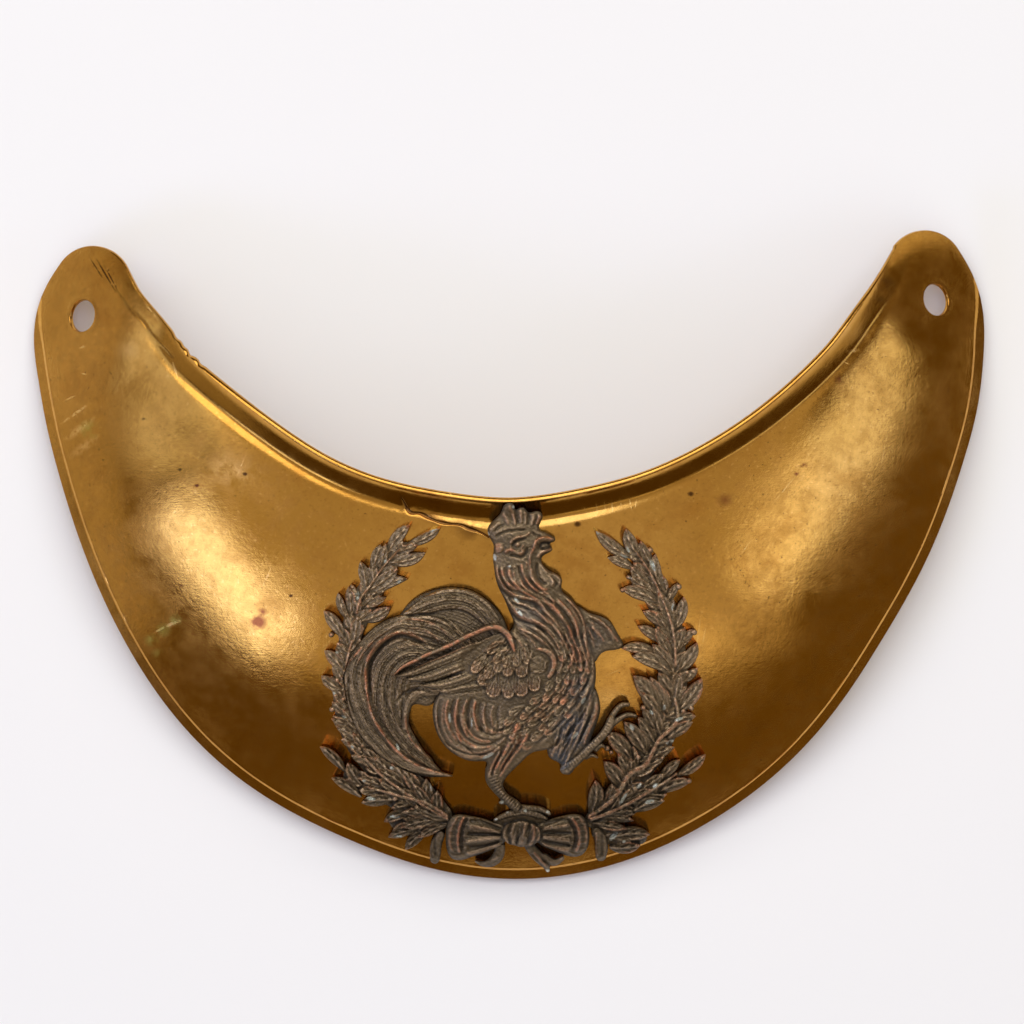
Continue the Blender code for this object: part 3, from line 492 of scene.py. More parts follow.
def berry(field, x, y, radius):
    at = field.trace(((x - 0.1, y, radius), (x + 0.1, y, radius)))
    dome = np.sqrt(np.clip(1 - ((radius - at.inside) / radius) ** 2, 0, 1))
    field.paint(at, 1.05 + 0.42 * dome * radius / 2.5)
    copper = field.tone["copper"]
    copper[at.cell] = np.maximum(copper[at.cell], 0.6 * dome ** 3 * (at.inside > 0))


def stem(field, rows, level=1.2):
    at = field.trace(rows)
    across = np.clip(np.abs(at.off) / at.half, 0, 1)
    bark = 0.05 * np.sin(at.off * 3.1 + at.run * 0.35) + 0.05 * np.sin(at.run * 0.9)
    field.paint(at, level + 0.34 * np.sqrt(1 - across ** 2) + bark)
    copper = field.tone["copper"]
    copper[at.cell] = np.maximum(copper[at.cell], 0.55 * (1 - across) * (at.inside > 0))


def filling_leaves(field, ground, seed):
    """Leaves in pairs up each side of a ground stroke, from its tip to the bow."""
    path = smooth(ground, 200)
    arc = np.concatenate(([0.0], np.cumsum(np.linalg.norm(np.diff(path[:, :2], axis=0), axis=1))))
    rng = np.random.default_rng(seed)
    for i, at in enumerate(np.arange(14.0, arc[-1] - 4, 8.5)):
        k = np.searchsorted(arc, at)
        ahead = path[max(k - 3, 0), :2] - path[min(k + 3, 199), :2]
        ahead /= np.linalg.norm(ahead)
        side = np.array((-ahead[1], ahead[0])) * (1 if i % 2 else -1)
        length = rng.uniform(19, 25)
        base = path[k, :2] - ahead * 2
        out = min(0.95 * path[k, 2], 0.62 * length)
        tip = base + ahead * math.sqrt(length ** 2 - out ** 2) + side * out
        leaf(field, tip, base, rng.uniform(5.2, 6.6), rng.uniform(-0.05, 0.05), seed + 50 + i)


def branch(leaves, berries, stems, grounds, seed):
    field = Field()
    for rows in grounds:
        at = field.trace(rows)
        across = np.clip(np.abs(at.off) / at.half, 0, 1)
        uneven = 0.08 * soft_noise(field.x[at.cell], field.y[at.cell], 6.0, seed)
        field.paint(at, 0.46 + 0.22 * (1 - across ** 2) + uneven)
    for i, rows in enumerate(grounds):
        filling_leaves(field, rows, seed + 500 + 100 * i)
    for i, (tip_x, tip_y, base_x, base_y, half, bend) in enumerate(leaves):
        leaf(field, (tip_x, tip_y), (base_x, base_y), half, bend, seed + i)
    for rows in stems:
        stem(field, rows)
    for x, y, radius in berries:
        berry(field, x, y, radius)
    # Painted light: the upper leaves are paler, fading out lower down
    field.tone["upper_light"] = 1 - ease(field.y, 660.0, 770.0)
    return field


# Tail

TAIL_OUTLINE = (
    (398, 617), (405, 607.5), (414, 599), (424, 593), (436, 589), (450, 587), (466, 589), (482, 596), (496, 608),
    (505, 622), (507, 640), (490, 660), (470, 680), (450, 684), (440, 690), (434, 702), (426, 705.5), (415, 704),
    (409.5, 709), (406.6, 717), (407.4, 728), (412.4, 739), (421, 749.6), (432, 759), (436, 767), (444, 772.4),
    (452, 775), (438, 777), (420, 775.5), (404, 770), (389, 761.5), (374, 750), (362, 736), (353, 720), (347, 703),
    (345, 688), (343, 677), (348, 666.5), (356, 656), (363, 646), (373, 634.5), (385, 625),
)
# Sickle feathers in the order they are laid: x, y, half width from the root to the tip
TAIL_PLUMES = (
    ((500, 634, 6.0), (484, 612, 10.0), (466, 600, 11.0), (446, 599, 10.5), (426, 605, 8.5), (407, 614, 3.5)),
    ((470, 654, 9.0), (452, 637, 12.5), (436, 627, 13.0), (418, 624, 10.5), (400, 624, 8.6), (382, 633, 9.2),
     (367, 648, 9.6), (357, 665, 10.2), (355, 683, 10.8), (359, 702, 12.0), (367, 722, 13.0), (379, 739, 12.5),
     (393, 753, 10.0), (408, 763.5, 7.0), (424, 770, 4.4), (439, 773.5, 2.6), (452, 775.6, 0.7)),
)
TAIL_INNER = (
    ((455, 668, 10.0), (432, 661, 15.0), (410, 658, 18.0), (395, 668, 20.0), (389, 685, 19.5), (388, 705, 18.5),
     (393, 724, 15.5), (404, 741, 12.0), (417, 755, 8.5), (430, 765, 4.5), (438, 770, 2.0)),
    ((450, 690, 5.0), (432, 690, 5.5), (418, 693, 5.0), (409, 701, 5.0), (405.5, 713, 4.0), (404.5, 726, 3.6)),
)
# Rise, then the line: x, y, half width. Positive ridges, negative grooves.
TAIL_LINES = (
    (0.42, 0.9, ((430, 647, 1.2), (422, 639, 1.6), (412, 634.3, 1.8), (402.7, 632, 1.9), (393, 633.6, 1.9),
                 (383.3, 639.5, 1.8), (374.8, 647, 1.7), (368.8, 657, 1.6), (366, 668, 1.5), (366, 682, 1.4),
                 (368.6, 700.6, 1.4), (373.6, 717.6, 1.4), (382, 732, 1.4), (393, 746.7, 1.4), (405, 757.6, 1.5),
                 (419.7, 766, 1.6), (436.7, 771.4, 1.4), (452, 774.8, 0.7))),
    (-0.55, 0.0, ((430, 650, 1.2), (421, 642.5, 1.9), (411, 637.8, 2.2), (402, 636, 2.3), (393.5, 637.6, 2.2),
                  (385, 643, 2.0), (377.5, 651, 1.8), (372, 661, 1.6), (369.6, 672, 1.3), (370, 684, 1.0),
                  (372, 700, 0.8))),
    (-0.34, 0.0, ((404, 616, 0.9), (418, 614.5, 1.3), (433.6, 614.5, 1.4), (445.8, 620, 1.3), (458, 632, 0.9))),
    (-0.32, 0.0, ((434, 693, 1.0), (422, 688.8, 1.4), (412.4, 689.4, 1.4), (402.7, 693.5, 1.4), (396.5, 703, 1.1))),
    (0.22, 0.6, ((405.6, 712, 1.0), (406.8, 728, 1.2), (411.6, 739.5, 1.2), (421, 750, 1.2), (433, 760.5, 0.9))),
    (-0.20, 0.0, ((388, 672, 0.9), (384, 690, 1.0), (388, 706, 1.0), (393, 716, 0.8))),
    (-0.18, 0.0, ((350, 672, 0.8), (348.5, 690, 1.0), (352, 708, 1.0), (358, 724, 0.8))),
    (0.20, 0.8, ((341, 676, 0.9), (346, 665, 1.2), (355, 655, 1.1), (363, 645, 0.8))),
    (0.18, 0.5, ((356, 667, 0.9), (362, 655, 1.2), (368, 646, 1.2), (375, 640, 0.8))),
    (0.16, 0.5, ((396, 622, 0.8), (408, 619, 1.1), (424, 620.5, 1.2), (440, 627, 1.1), (449, 637, 0.8))),
    (0.14, 0.3, ((405, 628, 0.8), (418, 628.5, 1.1), (431, 633, 1.1), (440, 642, 0.8))),
)


def plume(field, rows, level, crown, seed, pitch=2.7, strand=0.07):
    """A long feather of fine strands that run along it."""
    at = field.trace(rows)
    across = np.clip(at.off / at.half, -1, 1)
    wander = 0.9 * soft_noise(at.run, at.off, 30.0, seed)
    phase = at.off / pitch + 0.35 * np.sin(at.run / 23.0 + seed) + wander * 0.3
    height = level + crown * np.sqrt(np.clip(1 - across ** 2, 0, 1))
    height += strand * np.sin(2 * math.pi * phase) + 0.4 * strand * np.sin(2 * math.pi * phase * 2.3 + at.run / 9)
    height += 0.09 * np.sin(2 * math.pi * (at.off / 8.5 + 0.2 * np.sin(at.run / 31.0 + seed)) + seed)
    height += 0.04 * soft_noise(at.run * 0.25, at.off, 2.4, seed + 1)
    field.paint(at, height)


def tail():
    field = Field()
    at = outline_field(field, TAIL_OUTLINE)
    x, y = field.x[at.cell], field.y[at.cell]
    streaks = np.sin(2 * math.pi * (np.hypot(x - 418, y - 712) / 2.9 + 0.3 * soft_noise(x, y, 30.0, 21)))
    field.paint(at, pillow(at, 0.62, 0.30, 9.0) + 0.05 * streaks)
    plume(field, TAIL_PLUMES[0], 0.85, 0.75, 3)
    plume(field, TAIL_INNER[0], 0.85, 0.55, 5, pitch=2.5)
    plume(field, TAIL_INNER[1], 1.05, 0.45, 7, pitch=2.4, strand=0.06)
    plume(field, TAIL_PLUMES[1], 1.0, 0.65, 9)
    for rise, copper, rows in TAIL_LINES:
        field.line(rise, rows, copper)
    return field


# Rooster

# Outline of the comb, head, neck, breast, belly and rump, in pixels
BODY_OUTLINE = (
    (487.5, 531), (488.5, 526), (492, 521.5), (498, 516), (501.5, 511), (503.5, 506), (508, 503), (513.5, 504.8),
    (515.5, 509.5), (519.5, 507.8), (524.9, 508.6), (528, 512), (534, 511.3), (541, 512.6), (542.2, 517.5), (539, 525),
    (539.5, 529.5), (546, 532.6), (551.4, 535.8), (555, 538.6), (554, 541.2), (549.8, 543.2), (549.8, 546.0),
    (552.2, 548.8), (549.5, 551.8), (546, 553.6), (542, 556.6), (541, 561), (545.5, 567.4), (551.6, 571.6),
    (558, 574.6), (561.6, 579.5),
    (561, 585.5), (562, 591), (568.5, 596.5), (575, 603.5), (580, 611), (584, 621), (587, 636), (592.5, 652),
    (595, 664), (595.5, 676), (593.5, 690), (586, 708), (574, 727), (560, 741), (547, 749), (533, 752), (521, 762),
    (507.5, 775.5), (503, 784), (509, 795), (521, 806), (519, 813), (510, 809), (500, 797), (489, 783), (485.5, 772),
    (486.5, 762), (477, 761), (462, 758), (447, 748), (437.5, 734), (433, 718), (434, 702), (441, 690), (455, 668),
    (480, 645), (506, 634), (513.5, 624), (510, 613), (505, 600.5), (500, 590.5), (496, 580), (494, 568),
    (493, 556), (493.5, 545), (490, 538),
)
FAR_WING_OUTLINE = ((578, 606), (588, 612), (599, 615.5), (608, 620), (615, 629), (621, 640), (623, 645), (617, 649),
                    (606, 650.5), (599, 655), (594, 662), (585, 660), (578, 640))
FAR_THIGH_OUTLINE = ((570, 690), (585, 685), (594, 688), (598.4, 697), (600, 708), (597.6, 720), (593, 732),
                     (589.6, 742), (586, 752), (576, 765), (568, 774.6), (562, 771.5), (560, 764), (555, 760.6),
                     (549.5, 757.5), (547, 750), (550, 738), (560, 715))
RAISED_LEG = ((565, 769, 5.2), (574, 762.5, 4.6), (583, 754.5, 4.2), (592, 745.5, 4.2), (601, 736.5, 4.2),
              (607.5, 728, 4.6), (610.5, 720, 4.0))
RAISED_TOES = (
    ((606, 731, 3.4), (612, 724, 3.2), (619, 718.6, 2.8), (628, 714.6, 2.6), (635, 715.6, 2.0)),
    ((609, 723, 3.4), (612.4, 715, 3.0), (617, 708.6, 2.8), (622, 704.6, 2.6), (627.4, 704, 2.2)),
    ((596, 749, 2.6), (601, 745, 2.2), (605, 747, 1.2)),
    ((586, 757, 2.4), (592, 755, 2.0), (597, 757, 1.2)),
)
STANDING_LEG = ((492, 770, 7.0), (491, 780, 5.4), (496, 788, 4.8), (504, 797, 4.4), (513, 805, 4.2), (521, 810, 4.0))
STANDING_TOES = (
    ((520, 811.5, 4.2), (529, 812.5, 4.0), (537, 815, 3.6), (546, 818.5, 2.0)),
    ((522, 808, 3.4), (532, 808.5, 3.0), (541, 810, 3.0), (549, 814, 2.2)),
    ((518, 812.5, 4.2), (509, 814.5, 3.4), (502, 817, 3.0), (495, 820.5, 2.0)),
    ((509, 803, 2.6), (504, 802, 2.2), (500, 802.5, 1.6)),
)
# Feather lines on the neck and breast: rise, copper, then x, y, half width
NECK_LINES = (
    (0.34, 0.35, ((495.5, 562, 1.3), (497.5, 573, 1.6), (501, 582, 1.7), (507, 589.5, 1.8), (515, 594.5, 1.8),
                  (526, 597.5, 1.8), (535, 600, 1.7), (541.5, 605, 1.6), (547, 613, 1.3))),
    (-0.34, 0.0, ((498, 585, 1.0), (504, 592.5, 1.4), (513, 598, 1.6), (525, 600.8, 1.7), (534, 604, 1.5),
                  (540.5, 610, 1.2))),
    (0.30, 0.75, ((500.4, 563, 1.1), (502.4, 573.5, 1.4), (506.8, 581.5, 1.5), (514.7, 587, 1.5), (524, 592, 1.5),
                  (533, 596.5, 1.3), (541, 602, 1.0))),
    (-0.24, 0.0, ((498, 566, 0.9), (500, 576, 1.1), (504.5, 584.5, 1.2), (512, 590.5, 1.2), (522, 595, 1.0))),
    (0.26, 0.5, ((507.6, 568, 1.1), (509.4, 577, 1.3), (514.5, 583.5, 1.3), (522, 588.5, 1.2), (530, 592.5, 0.9))),
    (-0.22, 0.0, ((504, 566, 0.9), (506, 576, 1.1), (510.5, 583.6, 1.1), (518, 589, 1.0))),
    (0.24, 0.3, ((513, 570, 1.0), (515.5, 579, 1.2), (521, 585, 1.2), (529, 590, 1.1))),
    (0.26, 0.7, ((521, 562, 1.0), (523, 573, 1.3), (527, 581, 1.4), (533.5, 587.5, 1.3), (540, 592, 1.0))),
    (-0.24, 0.0, ((518, 564, 0.9), (520, 574, 1.1), (524, 583, 1.1), (530, 589.5, 0.9))),
    (0.24, 0.4, ((526.5, 560, 1.0), (527.5, 571, 1.2), (531.5, 579, 1.2), (538, 585.5, 1.0))),
    (0.30, 0.8, ((530.6, 566, 1.2), (532.4, 576, 1.4), (537, 583, 1.5), (543, 588.6, 1.5), (549, 588.5, 1.3))),
    (0.26, 0.5, ((540, 591.5, 1.1), (547, 593.6, 1.4), (552, 599, 1.3), (555, 606, 0.9))),
    (-0.30, 0.0, ((508, 596, 1.0), (513, 603, 1.2), (521, 606, 1.2), (531, 610, 1.1))),
    (0.30, 0.45, ((508, 600, 1.3), (513, 608, 1.7), (519, 614.5, 1.9), (529, 619, 1.8), (540, 623.5, 1.6),
                  (549, 630, 1.2))),
    (-0.34, 0.0, ((507, 606, 1.0), (512, 614, 1.4), (518, 619.5, 1.6), (529, 623, 1.6), (540, 628, 1.4),
                  (548, 635, 1.0))),
    (0.24, 0.2, ((514, 602, 1.1), (524, 604.6, 1.4), (534, 609, 1.4), (542, 615.5, 1.2), (549, 625, 0.9))),
    (0.28, 0.3, ((516, 625, 1.3), (523, 630, 1.6), (533, 634.6, 1.6), (543, 641, 1.5), (551, 650, 1.3),
                 (555.6, 660, 1.1), (554.6, 671, 0.9))),
    (-0.30, 0.0, ((514, 629, 1.0), (521, 635, 1.2), (532, 639.5, 1.2), (541, 645.5, 1.1), (548, 653, 0.9))),
    (0.24, 0.3, ((541, 607, 1.1), (549, 615, 1.4), (556, 625, 1.4), (561, 636, 1.3), (563, 648, 1.1))),
    (-0.24, 0.0, ((543, 604, 0.9), (552, 612.5, 1.2), (559, 623, 1.2), (564, 634, 1.1), (566, 646, 0.9))),
    (0.32, 0.85, ((548, 601, 1.2), (556.5, 609.5, 1.5), (564, 619, 1.6), (569.6, 629.5, 1.6), (571.4, 641, 1.2))),
    (-0.26, 0.0, ((552, 600, 0.9), (560.5, 608, 1.2), (568, 617.5, 1.2), (573.4, 628, 1.2), (574.6, 640, 0.9))),
    (0.30, 0.75, ((556, 597.5, 1.2), (565, 606, 1.4), (573, 616, 1.5), (577.4, 628.5, 1.5), (577, 640, 1.1))),
    (-0.26, 0.0, ((562, 597, 0.9), (571, 606, 1.2), (578, 616, 1.2), (581.6, 628, 1.1), (581, 642, 0.9))),
    (0.26, 0.35, ((565, 597, 1.1), (574.5, 606.5, 1.4), (581.6, 617, 1.4), (585.4, 631, 1.4), (586, 648, 1.1))),
    (0.26, 0.6, ((571, 642, 1.2), (573, 652, 1.5), (571, 662, 1.5), (566.5, 669, 1.0))),
    (-0.24, 0.0, ((567.5, 643, 0.9), (568.6, 653, 1.1), (566, 662, 1.0), (561, 668, 0.8))),
    (0.26, 0.6, ((579, 645, 1.2), (580, 655, 1.5), (578.4, 664, 1.3))),
    (0.26, 0.5, ((586.5, 650, 1.1), (587, 660, 1.4), (584.5, 671, 1.4), (579.5, 681, 1.0))),
    (0.22, 0.2, ((561, 650, 1.1), (563, 659, 1.4), (560.5, 668, 1.3), (556, 675, 0.9))),
    (-0.26, 0.0, ((589.5, 652, 0.9), (590.6, 664, 1.2), (588, 678, 1.2), (582, 690, 1.1), (572, 703, 0.9))),
    (0.24, 0.1, ((592.4, 660, 1.0), (592.6, 673, 1.3), (589.5, 686, 1.4), (582.5, 699, 1.4), (572, 712, 1.1))),
    (-0.24, 0.0, ((592, 684, 0.9), (586.5, 698, 1.2), (577, 712, 1.2), (565, 724.5, 1.0))),
    (0.22, 0.0, ((588, 703, 1.1), (579, 716, 1.4), (567, 729, 1.4), (553, 741, 1.1))),
)
# Head: eye, brow, cheek, beak and comb
HEAD_LINES = (
    (0.34, 0.3, ((509.5, 544, 1.1), (512.8, 539.4, 1.3), (520.5, 536.3, 1.3), (528, 533.6, 1.1), (530, 530.6, 0.8))),
    (-0.30, 0.0, ((512, 547, 0.8), (514, 542.4, 1.0), (520, 539.6, 1.0), (526.5, 537.6, 0.8))),
    (0.26, 0.2, ((510, 545.6, 0.9), (513.6, 550, 1.0), (519.6, 549.6, 1.0), (523.6, 543.6, 0.8))),
    (0.34, 0.7, ((504.5, 551.6, 1.5), (509, 549.6, 1.6), (515, 551.6, 1.5), (521.6, 552.2, 1.4), (524, 549.4, 0.9))),
    (-0.30, 0.0, ((508, 554.6, 0.9), (515, 555.6, 1.1), (522.4, 556.2, 1.1), (526, 552.2, 1.1), (527, 546, 0.8))),
    (0.34, 0.75, ((554.4, 539.6, 1.0), (548, 538, 1.2), (541, 537.8, 1.3), (535.6, 541, 1.3), (533.6, 547.4, 1.2),
                  (531, 552.4, 1.2), (529.5, 560, 1.2), (530.6, 570, 1.2))),
    (-0.38, 0.0, ((552, 543.6, 1.0), (546, 541.8, 1.6), (540.4, 543, 1.9), (538.4, 547.4, 1.8), (541, 550.2, 1.2))),
    (0.26, 0.3, ((551.4, 548.2, 1.1), (545.6, 550.6, 1.3), (539.6, 553.8, 1.4), (537, 558.4, 1.2))),
    (-0.40, 0.0, ((537, 561.6, 1.2), (536.6, 569, 1.8), (538.6, 577, 1.9), (543.4, 582.6, 1.6), (548, 583.6, 0.9))),
    (0.28, 0.1, ((541, 560, 1.2), (543, 567.6, 1.6), (549, 574.6, 1.8), (552.6, 581.4, 1.7), (550.6, 587.6, 1.3))),
    (0.26, 0.1, ((551, 572, 1.2), (557, 576, 1.5), (560, 580.6, 1.4), (559, 586, 1.1))),
    (-0.26, 0.0, ((546, 572, 0.8), (552, 577, 1.0), (555.6, 582, 1.0), (555.4, 588, 0.8))),
    (-0.24, 0.0, ((531.8, 531, 0.7), (534.8, 534.4, 1.0), (541.4, 535.2, 0.8))),
    (-0.30, 0.0, ((494, 537.6, 0.8), (503, 532.4, 1.1), (515, 530, 1.2), (528, 529.4, 0.9))),
    (0.20, 0.2, ((502, 512, 1.1), (505.5, 518, 1.5), (509, 525, 1.2))),
    (0.22, 0.3, ((508.4, 505, 1.3), (511.6, 511, 1.6), (514, 519, 1.3), (515.6, 526, 0.9))),
    (-0.24, 0.0, ((515.4, 509.6, 0.9), (516.6, 517, 1.2), (518, 525, 0.8))),
    (0.22, 0.2, ((519.6, 509, 1.0), (521, 516, 1.3), (521.6, 524, 0.9))),
    (0.20, 0.1, ((524.6, 510.6, 1.0), (525.2, 517, 1.2), (524.6, 525, 0.9))),
    (-0.24, 0.0, ((528, 512, 0.8), (528.4, 519, 1.1), (527.4, 526, 0.8))),
    (0.20, 0.1, ((532, 513, 1.0), (532.6, 519, 1.3), (530.6, 526, 0.9))),
    (0.26, 0.4, ((540, 514.6, 1.5), (538.6, 519, 1.5), (535.6, 524.6, 1.0))),
    (-0.20, 0.0, ((536.6, 513.6, 0.8), (536, 519.6, 1.0), (533.4, 526, 0.7))),
    (0.24, 0.0, ((489.5, 530.6, 1.5), (494, 526, 1.7), (500, 522, 1.2))),
    (-0.22, 0.0, ((494, 531, 0.8), (500, 526.6, 1.0), (505, 524, 0.8))),
)
MOUTH = ((551, 543.0), (546, 541.4), (541, 542.0), (538.8, 545.4), (540.4, 549.2), (546, 549.4), (551, 546.6))
SHANK = ((493, 775, 6.0), (497, 786, 5.6), (505, 796, 5.4), (514, 804, 5.2), (521, 809.5, 5.0))
HEAD_KNOBS = ((517.4, 544, 2.5, 0.42, 0.2), (509.6, 566, 2.0, 0.40, 0.3), (513.4, 566.4, 2.6, 0.16, 0.0),
              (498.4, 547.6, 5.2, 0.34, 0.5), (506, 551.4, 2.4, 0.20, 0.3), (522.6, 550.6, 1.8, 0.2, 0.4))
# Strands on the rump, thigh and far thigh
BODY_LINES = (
    (-0.20, 0.0, ((441, 697, 1.0), (438, 710, 1.3), (438.6, 724, 1.3), (443.4, 738, 1.2), (452, 749, 1.0))),
    (0.30, 0.6, ((449, 697, 1.2), (445.8, 709, 1.7), (446.6, 721, 1.9), (451.6, 732, 1.7), (459, 743, 1.2))),
    (-0.22, 0.0, ((455, 697, 0.9), (451.6, 709, 1.2), (452, 720, 1.2), (456.6, 731, 1.1), (463, 741, 0.9))),
    (0.26, 0.9, ((455.6, 712, 1.1), (455.4, 722, 1.3), (457.8, 733, 1.3), (462, 744, 0.9))),
    (0.24, 0.4, ((459, 697, 1.1), (456.4, 706, 1.5), (457.4, 716, 1.4))),
    (0.26, 0.6, ((468, 697, 1.1), (464.4, 706, 1.5), (463, 718, 1.6), (465, 730, 1.4), (468.6, 740, 1.0))),
    (-0.22, 0.0, ((472.6, 696, 0.9), (469, 706, 1.2), (467.6, 718, 1.2), (469.6, 731, 1.0))),
    (0.28, 0.9, ((476, 699, 1.1), (474, 710, 1.4), (475.6, 721, 1.5), (478, 732, 1.1))),
    (-0.22, 0.0, ((481, 700, 0.9), (478.6, 711, 1.2), (480.4, 724, 1.2), (482.4, 735, 0.9))),
    (0.24, 0.3, ((486, 702, 1.1), (483.4, 712, 1.4), (485, 724, 1.5), (486.6, 734, 1.1))),
    (0.22, 0.2, ((494, 704, 1.1), (491, 714, 1.4), (492.4, 725, 1.4), (491, 735, 1.0))),
    (-0.22, 0.0, ((499, 704, 0.9), (496.6, 714, 1.2), (498, 725, 1.1), (495, 736, 0.9))),
    (0.24, 0.1, ((471, 745, 1.1), (478, 749.4, 1.5), (488, 748.6, 1.6), (498, 743.6, 1.5), (507, 735, 1.1))),
    (-0.26, 0.0, ((466, 746, 0.9), (474, 753, 1.2), (485, 753.4, 1.3), (496, 748.6, 1.1))),
    (0.30, 0.25, ((478.4, 757.6, 1.4), (486, 755, 2.0), (494, 751, 2.0), (501, 746, 1.3))),
    (0.20, 0.3, ((438, 742, 1.0), (448, 751.6, 1.5), (461, 756.4, 1.5), (475, 757.6, 1.1))),
    (-0.18, 0.0, ((443, 740, 0.8), (452, 747, 1.1), (463, 751.6, 1.1), (472, 753.6, 0.8))),
    (0.34, 1.0, ((518, 722, 1.4), (515, 730, 2.1), (513.6, 738, 1.8), (511, 745, 1.2))),
    (-0.30, 0.0, ((523, 722, 1.0), (521, 731, 1.3), (518.6, 740, 1.3), (514, 749, 1.0))),
    (0.30, 0.9, ((528, 732, 1.3), (524.6, 740, 1.8), (519, 748, 1.6), (514, 754, 1.1))),
    (0.30, 0.9, ((510, 739, 1.2), (506.6, 748, 1.8), (501, 757, 1.8), (496.6, 766, 1.5), (493, 776, 1.0))),
    (-0.26, 0.0, ((514, 746, 0.9), (510.6, 754, 1.2), (505, 763, 1.2), (500, 773, 0.9))),
    (0.26, 0.5, ((515.6, 752, 1.1), (510, 760, 1.5), (504.4, 769, 1.4), (499, 778, 1.0))),
    (0.24, 0.4, ((500, 751, 1.0), (495, 760, 1.4), (490.4, 769, 1.3), (488.6, 778, 0.9))),
    (-0.24, 0.0, ((504, 749, 0.9), (498.6, 759, 1.1), (494, 768, 1.1), (491, 778, 0.8))),
    (0.26, 0.2, ((590, 690, 1.1), (589, 702, 1.6), (584.6, 714, 1.7), (578, 727, 1.4), (573.6, 740, 1.0))),
    (-0.26, 0.0, ((594, 694, 0.9), (593, 706, 1.3), (588.6, 719, 1.3), (582.6, 731, 1.2), (578, 744, 0.9))),
    (0.26, 0.5, ((596.6, 700, 1.1), (596, 711, 1.5), (592, 723, 1.5), (586.6, 735, 1.4), (582.6, 747, 1.0))),
    (0.24, 0.1, ((582, 698, 1.0), (577.6, 709, 1.5), (571.6, 721, 1.6), (565, 733, 1.4), (560, 745, 1.0))),
    (-0.24, 0.0, ((583, 706, 0.9), (577, 718, 1.3), (570.6, 730, 1.3), (566, 742, 1.1), (563, 752, 0.9))),
    (0.28, 0.1, ((576, 728, 1.1), (572, 739, 1.5), (569.4, 750, 1.6), (566.6, 760, 1.3), (563.4, 767, 1.0))),
    (-0.26, 0.0, ((571, 736, 0.9), (566.6, 746, 1.2), (562.4, 755, 1.2), (558.6, 760, 0.9))),
    (0.26, 0.2, ((563, 736, 1.1), (557.6, 744, 1.5), (553, 752, 1.5), (550.6, 757, 1.0))),
    (0.24, 0.1, ((567, 741, 1.0), (561.6, 749, 1.3), (557.4, 757, 1.2))),
)
# Wing
WING_EDGE = ((393.5, 675.5, 0.8), (401, 667.6, 2.0), (412, 661.6, 2.5), (427.5, 654, 2.7), (447.3, 646, 2.8),
             (465.7, 636.6, 2.9), (481, 630, 3.0), (493.3, 626.6, 3.2), (502, 628.8, 3.2), (508, 634.6, 3.0),
             (511.5, 642, 2.6), (514, 650, 1.6))
# Flight feathers in the order they are laid: rows of x, y, half width from the root to the tip
FLIGHT = (
    ((486, 684, 4.6), (474, 685.6, 5.4), (462, 687, 5.2), (452, 689.4, 4.2), (441, 690.4, 1.6)),
    ((484, 668, 4.6), (470, 675.5, 5.6), (455, 681, 5.6), (439, 684.6, 4.6), (422, 684.6, 1.4)),
    ((490, 656, 4.6), (470, 661.6, 5.6), (448, 669, 5.8), (427, 676.4, 4.8), (407, 678.8, 1.4)),
    ((494, 644, 4.6), (474, 647.6, 5.4), (450, 657, 5.6), (424, 667.4, 4.6), (408, 673.4, 3.0), (395.6, 675.6, 1.0)),
)
# Coverts in the order they are laid: tip x, y, root x, y, half width
COVERTS = (
    (479, 684, 491, 668, 6.0), (491.5, 697, 496, 676, 8.4), (508.6, 698, 508, 678, 6.6), (522, 696, 518, 674, 8.2),
    (535, 691, 532, 672, 6.8), (472, 672, 486, 655, 5.6), (485.6, 678, 496, 660, 6.0), (496, 672, 503, 653, 5.8),
    (507, 676, 509, 652, 6.6), (522, 677, 520, 655, 6.8), (487, 653, 504, 639, 4.6), (494, 663, 508, 644, 4.8),
    (504, 667, 513, 647, 5.0), (515.5, 666, 519, 647, 5.2), (527, 664, 526, 646, 5.2),
)
WING_LINES = (
    (0.16, 0.2, ((512, 634, 0.9), (519, 641, 1.2), (524, 650, 1.2), (526, 659, 0.9))),
    (-0.16, 0.0, ((515, 631, 0.9), (523, 638, 1.2), (529, 646, 1.1), (531, 654, 0.8))),
    (0.16, 0.2, ((519, 631, 0.9), (527, 636, 1.2), (534, 643, 1.1), (537, 652, 0.8))),
    (-0.14, 0.0, ((524, 632, 0.8), (532, 637, 1.1), (539, 643, 1.0))),
    (-0.34, 0.0, ((400, 672.6, 0.8), (412, 666.4, 1.0), (427, 659.4, 1.1), (447, 651.4, 1.1), (466, 641.8, 1.1),
                  (482, 635.4, 1.0), (494, 632.6, 0.8))),
    (0.22, 0.3, ((408, 671.6, 0.8), (426, 662.6, 1.0), (447, 654.4, 1.1), (466, 645.4, 1.1), (484, 638.6, 1.0),
                 (494, 636.6, 0.8))),
    (0.24, 0.2, ((506, 641, 1.1), (497, 641.6, 1.4), (488, 646, 1.4), (483, 653, 1.0))),
    (-0.26, 0.0, ((508, 645, 0.9), (499, 646, 1.1), (491, 650.6, 1.1), (486.6, 658, 0.9))),
    (0.26, 0.2, ((511, 649, 1.1), (502, 650.6, 1.4), (494.6, 656.6, 1.4), (490, 664, 1.0))),
    (-0.24, 0.0, ((512, 653, 0.9), (503, 656, 1.1), (497, 662, 1.0))),
)
CURL = ((539, 648.5, 2.0), (546.6, 650.6, 2.8), (552.6, 657, 3.0), (553.6, 666, 3.0), (549, 675.6, 2.4))
COIL = (537.7, 664.5, 9.2)
